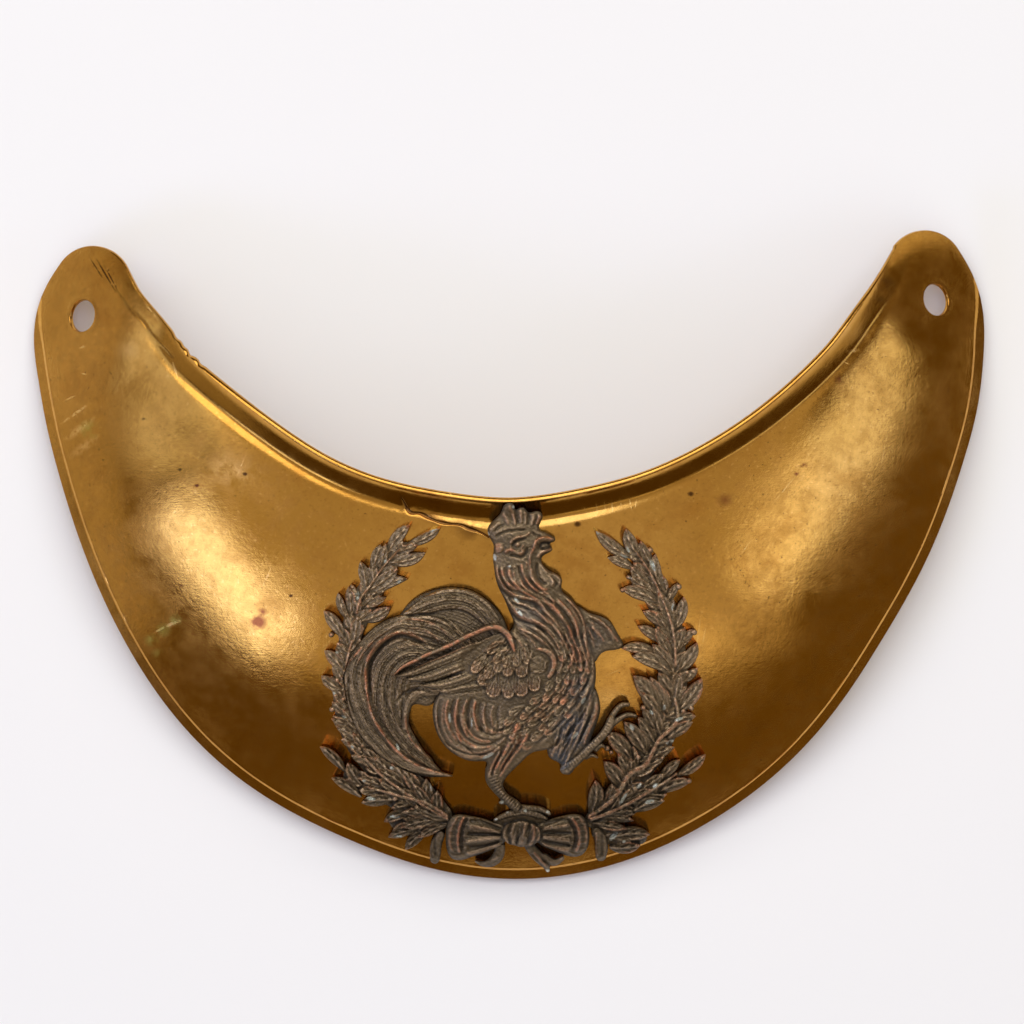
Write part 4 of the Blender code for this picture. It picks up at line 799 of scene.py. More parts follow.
FAR_WING_LINES = (
    (-0.20, 0.0, ((588, 618, 1.0), (598, 624, 1.2), (606, 633, 1.2), (612, 643, 0.9))),
    (0.18, 0.5, ((596, 618, 1.0), (606, 625, 1.2), (613, 634, 1.2), (618, 643, 0.9))),
    (0.18, 0.4, ((590, 626, 1.0), (598, 633, 1.3), (604, 642, 1.0))),
    (-0.18, 0.0, ((588, 634, 1.0), (593, 641, 1.1), (597, 650, 0.9))),
)
# The belly's scales lie between these two lines, from the breast to the thigh
SCALES_INNER = ((556, 652), (557, 668), (549, 684), (538, 697), (522, 706), (508, 714), (497, 724))
SCALES_OUTER = ((583, 652), (588, 668), (587, 686), (578, 703), (565, 720), (548, 735), (528, 747))
SCALE_ROWS = 9
SCALES_IN_ROW = 4
SCALE_LENGTH = 14.5
SCALE_HALF_WIDTH = 4.4
# Families of fine strands: the curves at each end of the family, count, rise and share that is copper
STRANDS = (
    (((495, 562), (497, 574), (502, 584), (511, 593), (524, 599), (536, 604), (546, 613)),
     ((530, 560), (531, 572), (535, 582), (543, 590), (552, 596), (560, 602), (566, 610)), 15, 0.17, 0.35),
    (((507, 604), (513, 613), (524, 620), (538, 626), (549, 634), (557, 646), (562, 660), (562, 674)),
     ((556, 590), (566, 599), (575, 610), (581, 622), (585, 640), (590, 658), (592, 676), (586, 694)), 18, 0.17, 0.35),
    (((510, 616), (516, 624), (524, 630), (536, 637), (546, 645), (554, 656), (556, 670)),
     ((541, 611), (552, 620), (559, 632), (563, 646), (565, 662)), 9, 0.15, 0.2),
    (((439, 694), (435, 712), (437, 730), (446, 746), (461, 755), (478, 757), (494, 751), (506, 742)),
     ((488, 700), (486, 710), (488, 720), (493, 727), (501, 729), (509, 726), (517, 720)), 17, 0.20, 0.4),
    (((504, 742), (498, 752), (492, 764), (488, 777)),
     ((532, 718), (529, 733), (521, 748), (511, 760), (502, 776)), 10, 0.20, 0.45),
    (((559, 722), (555, 738), (552, 750), (551, 757)),
     ((594, 690), (596, 704), (591, 722), (583, 740), (574, 757), (566, 771)), 12, 0.20, 0.12),
    (((590, 662), (591, 680), (583, 700), (570, 718), (553, 736), (534, 749)),
     ((562, 672), (557, 684), (547, 697), (534, 708), (520, 716), (510, 724)), 12, 0.15, 0.25),
    (((584, 622), (589, 634), (593, 647), (597, 656)),
     ((588, 613), (602, 618), (612, 628), (620, 642)), 8, 0.14, 0.2),
)
BODY_LEVEL = 1.05
BODY_CROWN = 1.35
BODY_ROUND = 30.0


def outline_field(field, corners):
    """Signed distance inside a closed smooth outline."""
    ring = np.array(corners + corners[:3], float)
    path = smooth(np.column_stack((ring, np.zeros(len(ring)))), 8 * len(ring))[:, :2]
    half = len(path) // 2
    start = np.linalg.norm(path[:half] - ring[1], axis=1).argmin()
    stop = half + np.linalg.norm(path[half:] - ring[-2], axis=1).argmin()
    loop = np.vstack((path[start:stop], path[start:start + 1]))
    low, high = loop.min(axis=0) - 4, loop.max(axis=0) + 4
    cell = field.window(low, high)
    x, y = field.x[cell], field.y[cell]
    away = polyline_distance(loop, x, y)
    inside = np.zeros(x.shape, bool)
    for (ax, ay), (bx, by) in zip(loop[:-1], loop[1:]):
        if ay != by:
            inside ^= ((ay > y) != (by > y)) & (x < (bx - ax) * (y - ay) / (by - ay) + ax)
    return SimpleNamespace(cell=cell, inside=np.where(inside, away, -away))


def pillow(at, level, crown, radius):
    """Rounded form that rises from its outline and is level further in."""
    share = np.clip(at.inside / radius, 0, 1)
    return level + crown * np.sqrt(1 - (1 - share) ** 2)


def limb(field, rows, level, crown, rings=0.0):
    at = field.trace(rows)
    across = np.clip(np.abs(at.off) / at.half, 0, 1)
    height = level + crown * np.sqrt(1 - across ** 2)
    if rings:
        height += rings * np.sin(2 * math.pi * at.run / 3.1) * (1 - across) ** 0.5
    field.paint(at, height)


def feather(field, tip, root, half, rise, seed, barbs=0.06, base=None, copper=0.0):
    """A short body feather or covert with a rounded tip, laid on the form below it."""
    tip, root = np.array(tip, float), np.array(root, float)
    axis = tip - root
    axis *= 1 - 0.8 * half / np.linalg.norm(axis)
    widths = ((0.0, 0.60), (0.3, 0.90), (0.6, 1.0), (0.85, 0.95), (1.0, 0.82))
    rows = [(*(root + axis * s), half * w) for s, w in widths]
    at = field.trace(rows)
    across = np.clip(np.abs(at.off) / at.half, 0, 1.2)
    under = (field.height if base is None else base)[at.cell]
    height = under + rise * (0.10 + 0.90 * at.share) * (1 - 0.35 * across ** 2)
    height += 0.25 * rise * np.exp(-(at.off / 0.8) ** 2) * (1 - at.share * 0.6)
    height += 0.30 * rise * bump(at.inside, 0.9, 0.7) * ease(at.share, 0.3, 0.7)
    lines = np.sin(2 * math.pi * (np.abs(at.off) * 1.0 - at.run * 0.25) / 2.8 + seed)
    height += barbs * lines
    field.paint(at, height, soft=0.9, outline=False)
    if copper:
        glow = copper * ease(at.share, 0.35, 0.9) * ease(at.inside, 0, 2)
        tone = field.tone["copper"]
        tone[at.cell] = np.where(at.inside > 0, glow, tone[at.cell])


def strands(field, first, last, count, rise, copper, seed):
    """Fine ridges and grooves spread between two guide curves."""
    rng = np.random.default_rng(seed)
    first = smooth([(*p, 0) for p in first], 24)[:, :2]
    last = smooth([(*p, 0) for p in last], 24)[:, :2]
    for i in range(count):
        share = (i + rng.uniform(0.25, 0.75)) / count
        begin, end = rng.integers(0, 7), 24 - rng.integers(0, 7)
        path = (first + (last - first) * share)[begin:end]
        path = path + rng.normal(0, 0.25, 2)
        rows = [(*p, rng.uniform(0.9, 1.3)) for p in path[::3]]
        field.line(rise * rng.uniform(0.6, 1.3) * (-0.8 if i % 3 == 1 else 1.0), rows,
                   0.0 if i % 3 == 1 else copper * rng.uniform(0, 2) * (rng.random() < 0.6))


def rooster():
    field = Field()
    # Far wing, far thigh and the raised leg lie lowest
    at = outline_field(field, FAR_WING_OUTLINE)
    field.paint(at, pillow(at, 0.8, 0.35, 9.0))
    for rise, copper, rows in FAR_WING_LINES:
        field.line(rise, rows, copper)
    at = outline_field(field, FAR_THIGH_OUTLINE)
    field.paint(at, pillow(at, 0.85, 0.75, 15.0))
    for rows in RAISED_TOES:
        limb(field, rows, 0.95, 0.40, rings=0.05)
    limb(field, RAISED_LEG, 1.15, 0.60, rings=0.07)
    limb(field, STANDING_LEG, 1.0, 0.6, rings=0.09)
    for rows in STANDING_TOES:
        limb(field, rows, 1.15, 0.45, rings=0.07)
    # Body, then the breast over it
    at = outline_field(field, BODY_OUTLINE)
    field.paint(at, pillow(at, BODY_LEVEL, BODY_CROWN, BODY_ROUND), soft=2.5)
    base = blurred(field.height, 2)
    inner = smooth([(*p, 0) for p in SCALES_INNER], 60)[:, :2]
    outer = smooth([(*p, 0) for p in SCALES_OUTER], 60)[:, :2]
    rng = np.random.default_rng(11)
    for row in range(SCALE_ROWS, -1, -1):
        for column in range(SCALES_IN_ROW + row % 2):
            along = (row + rng.uniform(-0.12, 0.12)) / SCALE_ROWS
            between = (column + 0.5 * (1 - row % 2) + 0.2) / (SCALES_IN_ROW + 0.4) + rng.uniform(-0.03, 0.03)
            i = min(int(along * 57) + 1, 57)
            here = inner[i] + (outer[i] - inner[i]) * between
            ahead = inner[i + 2] + (outer[i + 2] - inner[i + 2]) * between
            behind = inner[i - 1] + (outer[i - 1] - inner[i - 1]) * between
            heading = (ahead - behind) / np.linalg.norm(ahead - behind)
            length = SCALE_LENGTH * rng.uniform(0.85, 1.1)
            feather(field, here + heading * length * 0.6, here - heading * length * 0.4, SCALE_HALF_WIDTH,
                    0.34, column + row * 1.7, base=base, copper=rng.choice((0.0, 0.5, 0.9), p=(0.4, 0.3, 0.3)))
    for i, (first, last, count, rise, copper) in enumerate(STRANDS):
        strands(field, first, last, count, rise, copper, 40 + i)
    for rise, copper, rows in BODY_LINES + NECK_LINES + HEAD_LINES:
        field.line(rise, rows, copper)
    for x, y, radius, rise, copper in HEAD_KNOBS:
        at = field.trace(((x - 0.1, y, radius), (x + 0.1, y, radius)))
        dome = np.sqrt(np.clip(1 - ((radius - at.inside) / radius) ** 2, 0, 1)) * (at.inside > 0)
        field.height[at.cell] += rise * dome
        field.tone["copper"][at.cell] = np.maximum(field.tone["copper"][at.cell], copper * dome)
    at = outline_field(field, MOUTH)
    field.height[at.cell] -= 0.75 * ease(at.inside, -0.4, 1.4)
    at = field.trace(SHANK)
    field.height[at.cell] += 0.13 * np.sin(2 * math.pi * at.run / 3.0) * ease(at.inside, 0.0, 2.5)
    wing(field)
    return field


def wing(field):
    """The near wing, laid over the body."""
    base = blurred(field.height, 12)
    level = 2.05
    for i, rows in enumerate(FLIGHT):
        at = field.trace(rows)
        across = at.off / at.half
        height = level - 0.1 + 0.16 * i + 0.36 * np.sqrt(np.clip(1 - across ** 2, 0, 1))
        height += 0.14 * np.exp(-(at.off / 0.8) ** 2) - 0.12 * bump(np.abs(across), 0.45, 0.14)
        height += 0.035 * np.sin(2 * math.pi * (np.abs(at.off) - 0.5 * at.run) / 2.6)
        field.paint(at, height, soft=0.9)
    at = field.trace(((474, 662, 14.0), (495, 655, 20.0), (515, 652, 20.0), (534, 655, 14.0)))
    field.paint(at, np.maximum(base[at.cell], level) + 0.12, soft=6.0)
    pad = blurred(field.height, 3)
    for i, (tip_x, tip_y, root_x, root_y, half) in enumerate(COVERTS):
        feather(field, (tip_x, tip_y), (root_x, root_y), half * 1.1, 0.50, i * 1.3, barbs=0.08, base=pad, copper=0.2)
    for rise, copper, rows in WING_LINES:
        field.line(rise, rows, copper)
    x, y, radius = COIL
    at = field.trace(((x - 0.1, y, radius), (x + 0.1, y, radius)))
    ring = np.clip((radius - at.inside) / radius, 0, 1.2)
    spin = np.arctan2(field.y[at.cell] - y - 5, field.x[at.cell] - x - 5)
    coil = level + 0.38 + 0.30 * np.sqrt(np.clip(1 - ring ** 2, 0, 1)) + 0.10 * bump(ring, 0.86, 0.14)
    field.paint(at, coil + 0.06 * np.cos(11 * spin) * ease(ring, 0.2, 0.6), soft=1.0, outline=False)
    at = field.trace(CURL)
    across = np.clip(np.abs(at.off) / at.half, 0, 1)
    field.paint(at, level + 0.55 + 0.30 * np.sqrt(1 - across ** 2), soft=0.9)
    copper = field.tone["copper"]
    copper[at.cell] = np.maximum(copper[at.cell], 0.7 * (1 - across) * (at.inside > 0))
    at = field.trace(WING_EDGE)
    across = np.clip(np.abs(at.off) / at.half, 0, 1)
    field.paint(at, level + 0.62 + 0.34 * np.sqrt(1 - across ** 2), soft=0.9)
    copper[at.cell] = np.maximum(copper[at.cell], 0.95 * (1 - across ** 2) * (at.inside > 0))


# Bow

BOW_GROUND = ((500, 824, 6.0), (511, 820, 8.0), (526, 819, 8.5), (539, 822, 7.0))
BOW_TAILS = (
    ((500, 848, 5.0), (498, 856, 5.6), (491, 863, 4.6), (482, 864.5, 2.6), (476, 862, 1.4)),
    ((529, 846, 5.0), (537, 856, 5.6), (545, 864, 5.0), (547.6, 871, 2.0)),
    ((545, 858, 4.0), (555, 863, 3.6), (562, 859, 2.4)),
    ((440, 836, 4.6), (436.5, 843, 5.6), (435, 852, 5.6), (434.5, 859.5, 5.0)),
    ((597, 833, 5.0), (600.6, 840, 6.2), (601.6, 849, 6.4), (601, 856.5, 5.4)),
)
BOW_LOOPS = (
    ((447, 823), (451, 817), (459, 814.6), (470, 816), (482, 818.4), (494, 822.4), (504, 827), (507, 835), (503, 844),
     (493, 849.6), (481, 854.4), (469, 858.4), (459, 861), (451, 858.6), (447, 852), (445.4, 838)),
    ((535, 828), (545, 821.4), (556, 817.6), (567, 815), (577, 814.4), (584, 817.4), (588, 825), (589.4, 836),
     (587.6, 848), (582, 855.4), (573, 857.4), (562, 854.6), (551, 850), (540, 845), (534, 836)),
)
BOW_KNOT = ((514, 834, 11.5), (521, 834, 13.5), (529, 834.5, 11.5))
BOW_LINES = (
    (0.42, 0.15, ((466, 827, 1.6), (475, 828, 2.6), (488, 830, 2.8), (502, 833, 1.6))),
    (0.50, 0.1, ((463, 842, 1.8), (474, 841, 3.0), (488, 839, 3.0), (502, 837, 1.6))),
    (0.40, 0.1, ((464, 853.6, 1.6), (476, 853, 2.6), (489, 849.6, 2.6), (502, 844, 1.4))),
    (-0.34, 0.0, ((466, 834.6, 1.4), (478, 834.6, 2.0), (490, 834.6, 1.8), (503, 835, 1.0))),
    (-0.34, 0.0, ((466, 847.6, 1.4), (477, 847, 2.0), (490, 844.4, 1.8), (502, 840.6, 1.0))),
    (-0.30, 0.0, ((468, 820.6, 1.4), (479, 821.6, 2.2), (491, 825.6, 2.0), (502, 830, 1.0))),
    (0.34, 1.0, ((465, 815.6, 1.0), (460.4, 824, 1.4), (458, 834, 1.5), (457.6, 844, 1.5), (459.6, 855, 1.1))),
    (-0.30, 0.0, ((468.6, 817, 1.0), (463.6, 825, 1.4), (461.4, 835, 1.5), (461, 845, 1.5), (462.6, 854, 1.1))),
    (0.20, 0.35, ((459, 815, 1.2), (453, 824, 1.6), (449.6, 835, 1.6), (449.6, 845, 1.5), (453, 853, 1.1))),
    (0.40, 0.1, ((541, 829, 1.4), (551, 827.6, 2.4), (562, 826.6, 2.4), (571, 825, 1.4))),
    (0.42, 0.1, ((541, 837, 1.4), (552, 838, 2.6), (563, 839.6, 2.6), (572, 841, 1.4))),
    (0.38, 0.2, ((541, 844, 1.2), (551, 847.6, 2.4), (562, 850, 2.4), (571, 851, 1.4))),
    (-0.32, 0.0, ((541, 833, 1.0), (552, 832.8, 1.8), (563, 833, 1.8), (573, 833, 1.2))),
    (-0.32, 0.0, ((541, 841, 1.0), (552, 843.4, 1.8), (563, 845.4, 1.8), (573, 846.6, 1.2))),
    (-0.28, 0.0, ((542, 825, 1.0), (552, 821.6, 1.8), (563, 820, 1.8), (571, 819.6, 1.2))),
    (0.36, 1.0, ((570.6, 817, 1.0), (576.4, 825, 1.5), (579.4, 835, 1.6), (578.8, 845, 1.5), (574.6, 853.6, 1.1))),
    (-0.30, 0.0, ((567, 819, 1.0), (572.6, 826, 1.4), (575.4, 835, 1.5), (574.8, 844, 1.4), (571, 852, 1.1))),
    (0.20, 0.3, ((578, 816, 1.2), (584, 825, 1.6), (586.6, 836, 1.6), (585, 846, 1.4))),
    (0.26, 0.1, ((508, 823, 1.4), (504.6, 830, 1.8), (504.6, 838, 1.8), (508, 845.6, 1.3))),
    (-0.26, 0.0, ((511.6, 821.6, 1.0), (508.6, 830, 1.3), (508.6, 838, 1.3), (511.4, 846, 1.0))),
    (0.26, 0.1, ((516, 821, 1.3), (513, 829, 1.6), (512.6, 838, 1.7), (514, 846.6, 1.3))),
    (-0.26, 0.0, ((520.4, 821, 1.0), (518, 830, 1.3), (517.4, 839, 1.3), (516.6, 847, 1.0))),
    (0.28, 0.2, ((525, 821.6, 1.3), (524, 829, 1.6), (523.6, 838, 1.7), (520, 846.6, 1.3))),
    (-0.26, 0.0, ((529, 822, 1.0), (529, 831, 1.3), (528, 839.6, 1.3), (523.6, 847.6, 1.0))),
    (0.28, 0.5, ((532.6, 823.6, 1.3), (534, 831, 1.6), (532.6, 840, 1.6), (528, 847.6, 1.2))),
    (0.22, 0.3, ((537.6, 826, 1.1), (539, 833.6, 1.3), (537.4, 842, 1.2))),
    (0.22, 0.4, ((430, 838, 1.0), (429, 848, 1.2), (430.4, 860, 1.1))),
    (0.22, 0.4, ((596.6, 832, 1.0), (595.6, 844, 1.2), (597, 858, 1.0))),
    (-0.20, 0.0, ((434.6, 830, 1.2), (434.4, 844, 1.5), (435.4, 858, 1.2))),
    (-0.22, 0.0, ((602, 832, 1.2), (602, 845, 1.6), (602, 858, 1.2))),
    (0.20, 0.1, ((480, 861, 1.0), (490, 861.6, 1.3), (499, 857, 1.0))),
    (0.22, 0.5, ((533, 852, 1.0), (540, 860.6, 1.3), (547, 868, 1.0))),
    (0.20, 0.1, ((531, 856, 1.0), (537, 863.6, 1.2), (544.6, 869.6, 0.9))),
)


def bow():
    field = Field()
    limb(field, BOW_GROUND, 0.6, 0.3)
    for rows in BOW_TAILS:
        limb(field, rows, 0.8, 0.45)
    for corners in BOW_LOOPS:
        at = outline_field(field, corners)
        x, y = field.x[at.cell], field.y[at.cell]
        spread = np.clip(np.abs(x - 519) / 60, 0.2, 1.0)
        turn = 2 * math.pi * (y - 836) / spread
        fold = np.sin(turn / 7.0 + 1) + 0.8 * np.sin(turn / 3.2)
        field.paint(at, pillow(at, 0.95, 0.65, 12.0) + 0.05 * fold * ease(at.inside, 1.0, 4.0))
    at = field.trace(BOW_KNOT)
    across = np.clip(np.abs(at.off) / at.half, 0, 1)
    x, y = field.x[at.cell], field.y[at.cell]
    bent = x - 521 + 0.4 * (y - 834) + 0.9 * soft_noise(x, y, 9, 4)
    folds = 0.10 * np.sin(2 * math.pi * bent / 6.5) + 0.05 * np.sin(2 * math.pi * bent / 2.9 + 1.0)
    field.paint(at, 1.35 + 0.70 * np.sqrt(1 - across ** 2) + folds)
    for rise, copper, rows in BOW_LINES:
        field.line(rise, rows, copper)
    return field


# Meshes from the relief

def clipped_grid(x, y, reach):
    """Triangles of the grid where reach is positive, cut along its zero line.

    Returns moved grid points, the triangles and the added points as (inner index, outer index, share).
    """
    rows, columns = reach.shape
    gy, gx = np.gradient(reach, PITCH)
    steep = np.maximum(gx ** 2 + gy ** 2, 1e-6)
    near = np.abs(reach) < 0.33 * PITCH * np.sqrt(steep)
    x = np.where(near, x - reach * gx / steep, x)
    y = np.where(near, y - reach * gy / steep, y)
    sign = np.where(near, 0, np.sign(reach)).astype(int).ravel()
    value = np.where(near, 0.0, reach).ravel()
    index = np.arange(rows * columns).reshape(rows, columns)
    a, b, c, d = index[:-1, :-1], index[:-1, 1:], index[1:, 1:], index[1:, :-1]
    flip = ((np.add.outer(np.arange(rows - 1), np.arange(columns - 1)) % 2) == 1).ravel()
    a, b, c, d = (corner.ravel() for corner in (a, b, c, d))
    first = np.where(flip[:, None], np.stack((a, b, d), 1), np.stack((a, b, c), 1))
    second = np.where(flip[:, None], np.stack((b, c, d), 1), np.stack((a, c, d), 1))
    triangles = np.concatenate((first, second))
    signs = sign[triangles]
    whole = (signs.min(axis=1) >= 0) & (signs.max(axis=1) > 0)
    kept = [triangles[whole]]
    added, lookup, cut = [], {}, []
    for corners, marks in zip(triangles[(signs.min(axis=1) < 0) & (signs.max(axis=1) > 0)],
                              signs[(signs.min(axis=1) < 0) & (signs.max(axis=1) > 0)]):
        ring = []
        for i in range(3):
            here, after = corners[i], corners[(i + 1) % 3]
            if marks[i] >= 0:
                ring.append(here)
            if marks[i] * marks[(i + 1) % 3] < 0:
                pair = (here, after) if marks[i] > 0 else (after, here)
                if pair not in lookup:
                    lookup[pair] = rows * columns + len(added)
                    added.append((*pair, value[pair[0]] / (value[pair[0]] - value[pair[1]])))
                ring.append(lookup[pair])
        cut.extend((ring[0], ring[i], ring[i + 1]) for i in range(1, len(ring) - 1))
    if cut:
        kept.append(np.array(cut))
    return x.ravel(), y.ravel(), np.concatenate(kept), added


def spread_outward(values, known):
    """Fill unknown cells next to known ones, so heights reach past the outline."""
    values, known = values.copy(), known.copy()
    for _ in range(3):
        total = np.zeros_like(values)
        count = np.zeros_like(values)
        for axis, step in ((0, 1), (0, -1), (1, 1), (1, -1)):
            total += np.roll(values * known, step, axis)
            count += np.roll(known, step, axis)
        new = ~known.astype(bool) & (count > 0)
        values[new] = total[new] / count[new]
        known = known + new
    return values


def relief_piece(name, field, shine):
    """Closed mesh of a relief, laid over the plate's dome."""
    known = (field.reach > 0).astype(float)
    height = spread_outward(field.height, known)
    margin = np.clip(field.reach / ROUNDING, 0, 1)
    height = height - 0.30 * (1 - np.sqrt(1 - (1 - margin) ** 2))
    height = np.maximum(height, 0.35)
    grain = 0.034 * soft_noise(field.x, field.y, 4.0, 77) + 0.028 * soft_noise(field.x, field.y, 2.4, 78)
    height = height + grain
    wide = blurred(height * known, 5) / np.maximum(blurred(known, 5), 0.05)
    tight = blurred(height * known, 1) / np.maximum(blurred(known, 1), 0.05)
    tones = dict(field.tone)
    # Crests: rubbed metal together with painted highlight
    tones["crest"] = np.clip((tight - wide) / 0.12, 0, 1) * known
    # Hollows: patina in the recesses together with painted shade
    tones["hollow_patina_and_shade"] = np.clip((wide - tight) / 0.12, 0, 1) * known
    tones = {key: spread_outward(value, known) for key, value in tones.items()}
    x, y, triangles, added = clipped_grid(field.x, field.y, field.reach)
    layers = {"x": x, "y": y, "height": height.ravel(), **{key: value.ravel() for key, value in tones.items()}}
    if added:
        inner = np.array([row[0] for row in added])
        outer = np.array([row[1] for row in added])
        share = np.array([row[2] for row in added])
        layers = {key: np.concatenate((v, v[inner] + (v[outer] - v[inner]) * share)) for key, v in layers.items()}
    used, triangles = np.unique(triangles, return_inverse=True)
    triangles = triangles.reshape(-1, 3)[:, ::-1]
    layers = {key: value[used] for key, value in layers.items()}
    plate_x, plate_y = pixel_to_plate(layers["x"], layers["y"])
    ground = CRESCENT_FORM.front(plate_x, plate_y)
    upright = CRESCENT_FORM.upright(plate_x, plate_y)
    top = np.stack((plate_x, plate_y, ground + (EMBLEM_GAP + layers["height"]) / upright), axis=1)
    back = np.stack((plate_x, plate_y, ground + EMBLEM_GAP / upright), axis=1)
    count = len(used)
    edges = np.concatenate((triangles[:, :2], triangles[:, 1:], triangles[:, ::2][:, ::-1]))
    keys = np.sort(edges, axis=1)
    _, where, times = np.unique(keys[:, 0] * count + keys[:, 1], return_index=True, return_counts=True)
    rim = edges[where[times == 1]]
    walls = np.stack((rim[:, 1], rim[:, 0], rim[:, 0] + count, rim[:, 1] + count), axis=1)
    faces = [tuple(face) for face in triangles]
    faces += [tuple(face) for face in triangles[:, ::-1] + count]
    faces += [tuple(face) for face in walls]
    mesh = bpy.data.meshes.new(name)
    mesh.from_pydata((np.concatenate((top, back)) + REST) * MM, [], faces)
    for key in (*Field.TONES, "crest", "hollow_patina_and_shade"):
        layer = mesh.attributes.new(key, "FLOAT", "POINT")
        layer.data.foreach_set("value", np.tile(layers[key], 2).astype(np.float32))
    mesh.shade_smooth()
    mesh.set_sharp_from_angle(angle=math.radians(55))
    mesh.materials.append(shine)
    piece = bpy.data.objects.new(name, mesh)
    bpy.context.scene.collection.objects.link(piece)
    return piece


# Bluish metal on the far leg and parts of the neck: x, y, radius, strength
BLUISH = ((575, 730, 26, 0.9), (560, 760, 16, 1.0), (530, 615, 20, 0.35), (590, 640, 22, 0.35),
          (580, 690, 20, 0.5), (505, 700, 30, 0.12))


def add_specks(field):
    """Mark the silvery spots and the bluish metal."""
    for x, y, long, wide, angle in SPECKS:
        turn = math.radians(angle)
        dx, dy = field.x - x, y - field.y
        along = (dx * math.cos(turn) + dy * math.sin(turn)) / long
        aside = (dy * math.cos(turn) - dx * math.sin(turn)) / wide
        spot = 1 - ease(np.hypot(along, aside), 0.75, 1.15)
        field.tone["silver"] = np.maximum(field.tone["silver"], spot)
    for x, y, size, amount in BLUISH:
        away = np.hypot(field.x - x, field.y - y) / size
        field.tone["blue"] = np.maximum(field.tone["blue"], amount * (1 - ease(away, 0.3, 1.1)))


# Materials

class Nodes:
    """Short hand for building a material's nodes."""

    def __init__(self, name):
        self.material = bpy.data.materials.new(name)
        self.material.use_nodes = True
        self.tree = self.material.node_tree
        self.shader = self.tree.nodes["Principled BSDF"]
        self.place = self.add("ShaderNodeTexCoord").outputs["Object"]

    def add(self, kind, **settings):
        node = self.tree.nodes.new(kind)
        for key, value in settings.items():
            setattr(node, key, value)
        return node

    def put(self, socket, value):
        if isinstance(value, bpy.types.NodeSocket):
            self.tree.links.new(value, socket)
        elif isinstance(value, (tuple, list)) and len(value) == 3 and socket.type == "RGBA":
            socket.default_value = (*value, 1.0)
        else:
            socket.default_value = value

    def math(self, operation, first, second=0.0, third=0.0, clamp=False):
        node = self.add("ShaderNodeMath", operation=operation, use_clamp=clamp)
        for socket, value in zip(node.inputs, (first, second, third)):
            self.put(socket, value)
        return node.outputs[0]

    def noise(self, scale, detail=4.0, rough=0.55, stretch=(1, 1, 1), turn=0.0, distort=0.0):
        mapping = self.add("ShaderNodeMapping")
        self.put(mapping.inputs["Vector"], self.place)
        mapping.inputs["Scale"].default_value = stretch
        mapping.inputs["Rotation"].default_value = (0, 0, turn)
        node = self.add("ShaderNodeTexNoise")
        self.put(node.inputs["Vector"], mapping.outputs[0])
        self.put(node.inputs["Scale"], scale)
        self.put(node.inputs["Detail"], detail)
        self.put(node.inputs["Roughness"], rough)
        self.put(node.inputs["Distortion"], distort)
        return node.outputs["Fac"]

    def range(self, value, low, high, to_low=0.0, to_high=1.0, kind="SMOOTHSTEP"):
        node = self.add("ShaderNodeMapRange", interpolation_type=kind)
        for socket, given in zip(node.inputs, (value, low, high, to_low, to_high)):
            self.put(socket, given)
        return node.outputs[0]

    def mix(self, share, first, second, blend="MIX"):
        node = self.add("ShaderNodeMix", data_type="RGBA", blend_type=blend)
        self.put(node.inputs["Factor"], share)
        self.put(node.inputs[6], first)
        self.put(node.inputs[7], second)
        return node.outputs[2]

    def mark(self, start, end, half, amount):
        """Soft oval mark in XY over a line from start to end: amount in its middle, nothing beyond half."""
        long = math.hypot(end[0] - start[0], end[1] - start[1]) / 2 + half
        mapping = self.add("ShaderNodeMapping", vector_type="TEXTURE")
        self.put(mapping.inputs["Vector"], self.place)
        mapping.inputs["Location"].default_value = ((start[0] + end[0]) / 2, (start[1] + end[1]) / 2, 0)
        mapping.inputs["Rotation"].default_value = (0, 0, math.atan2(end[1] - start[1], end[0] - start[0]))
        mapping.inputs["Scale"].default_value = (long, half, 1000)
        node = self.add("ShaderNodeTexGradient", gradient_type="SPHERICAL")
        self.put(node.inputs["Vector"], mapping.outputs[0])
        return self.math("MULTIPLY", node.outputs["Fac"], 2.2 * amount)

    def attribute(self, name):
        node = self.add("ShaderNodeAttribute", attribute_name=name)
        return node.outputs["Fac"]

    def relief(self, height, distance, strength=1.0):
        node = self.add("ShaderNodeBump")
        self.put(node.inputs["Height"], height)
        self.put(node.inputs["Distance"], distance)
        self.put(node.inputs["Strength"], strength)
        self.put(self.shader.inputs["Normal"], node.outputs[0])


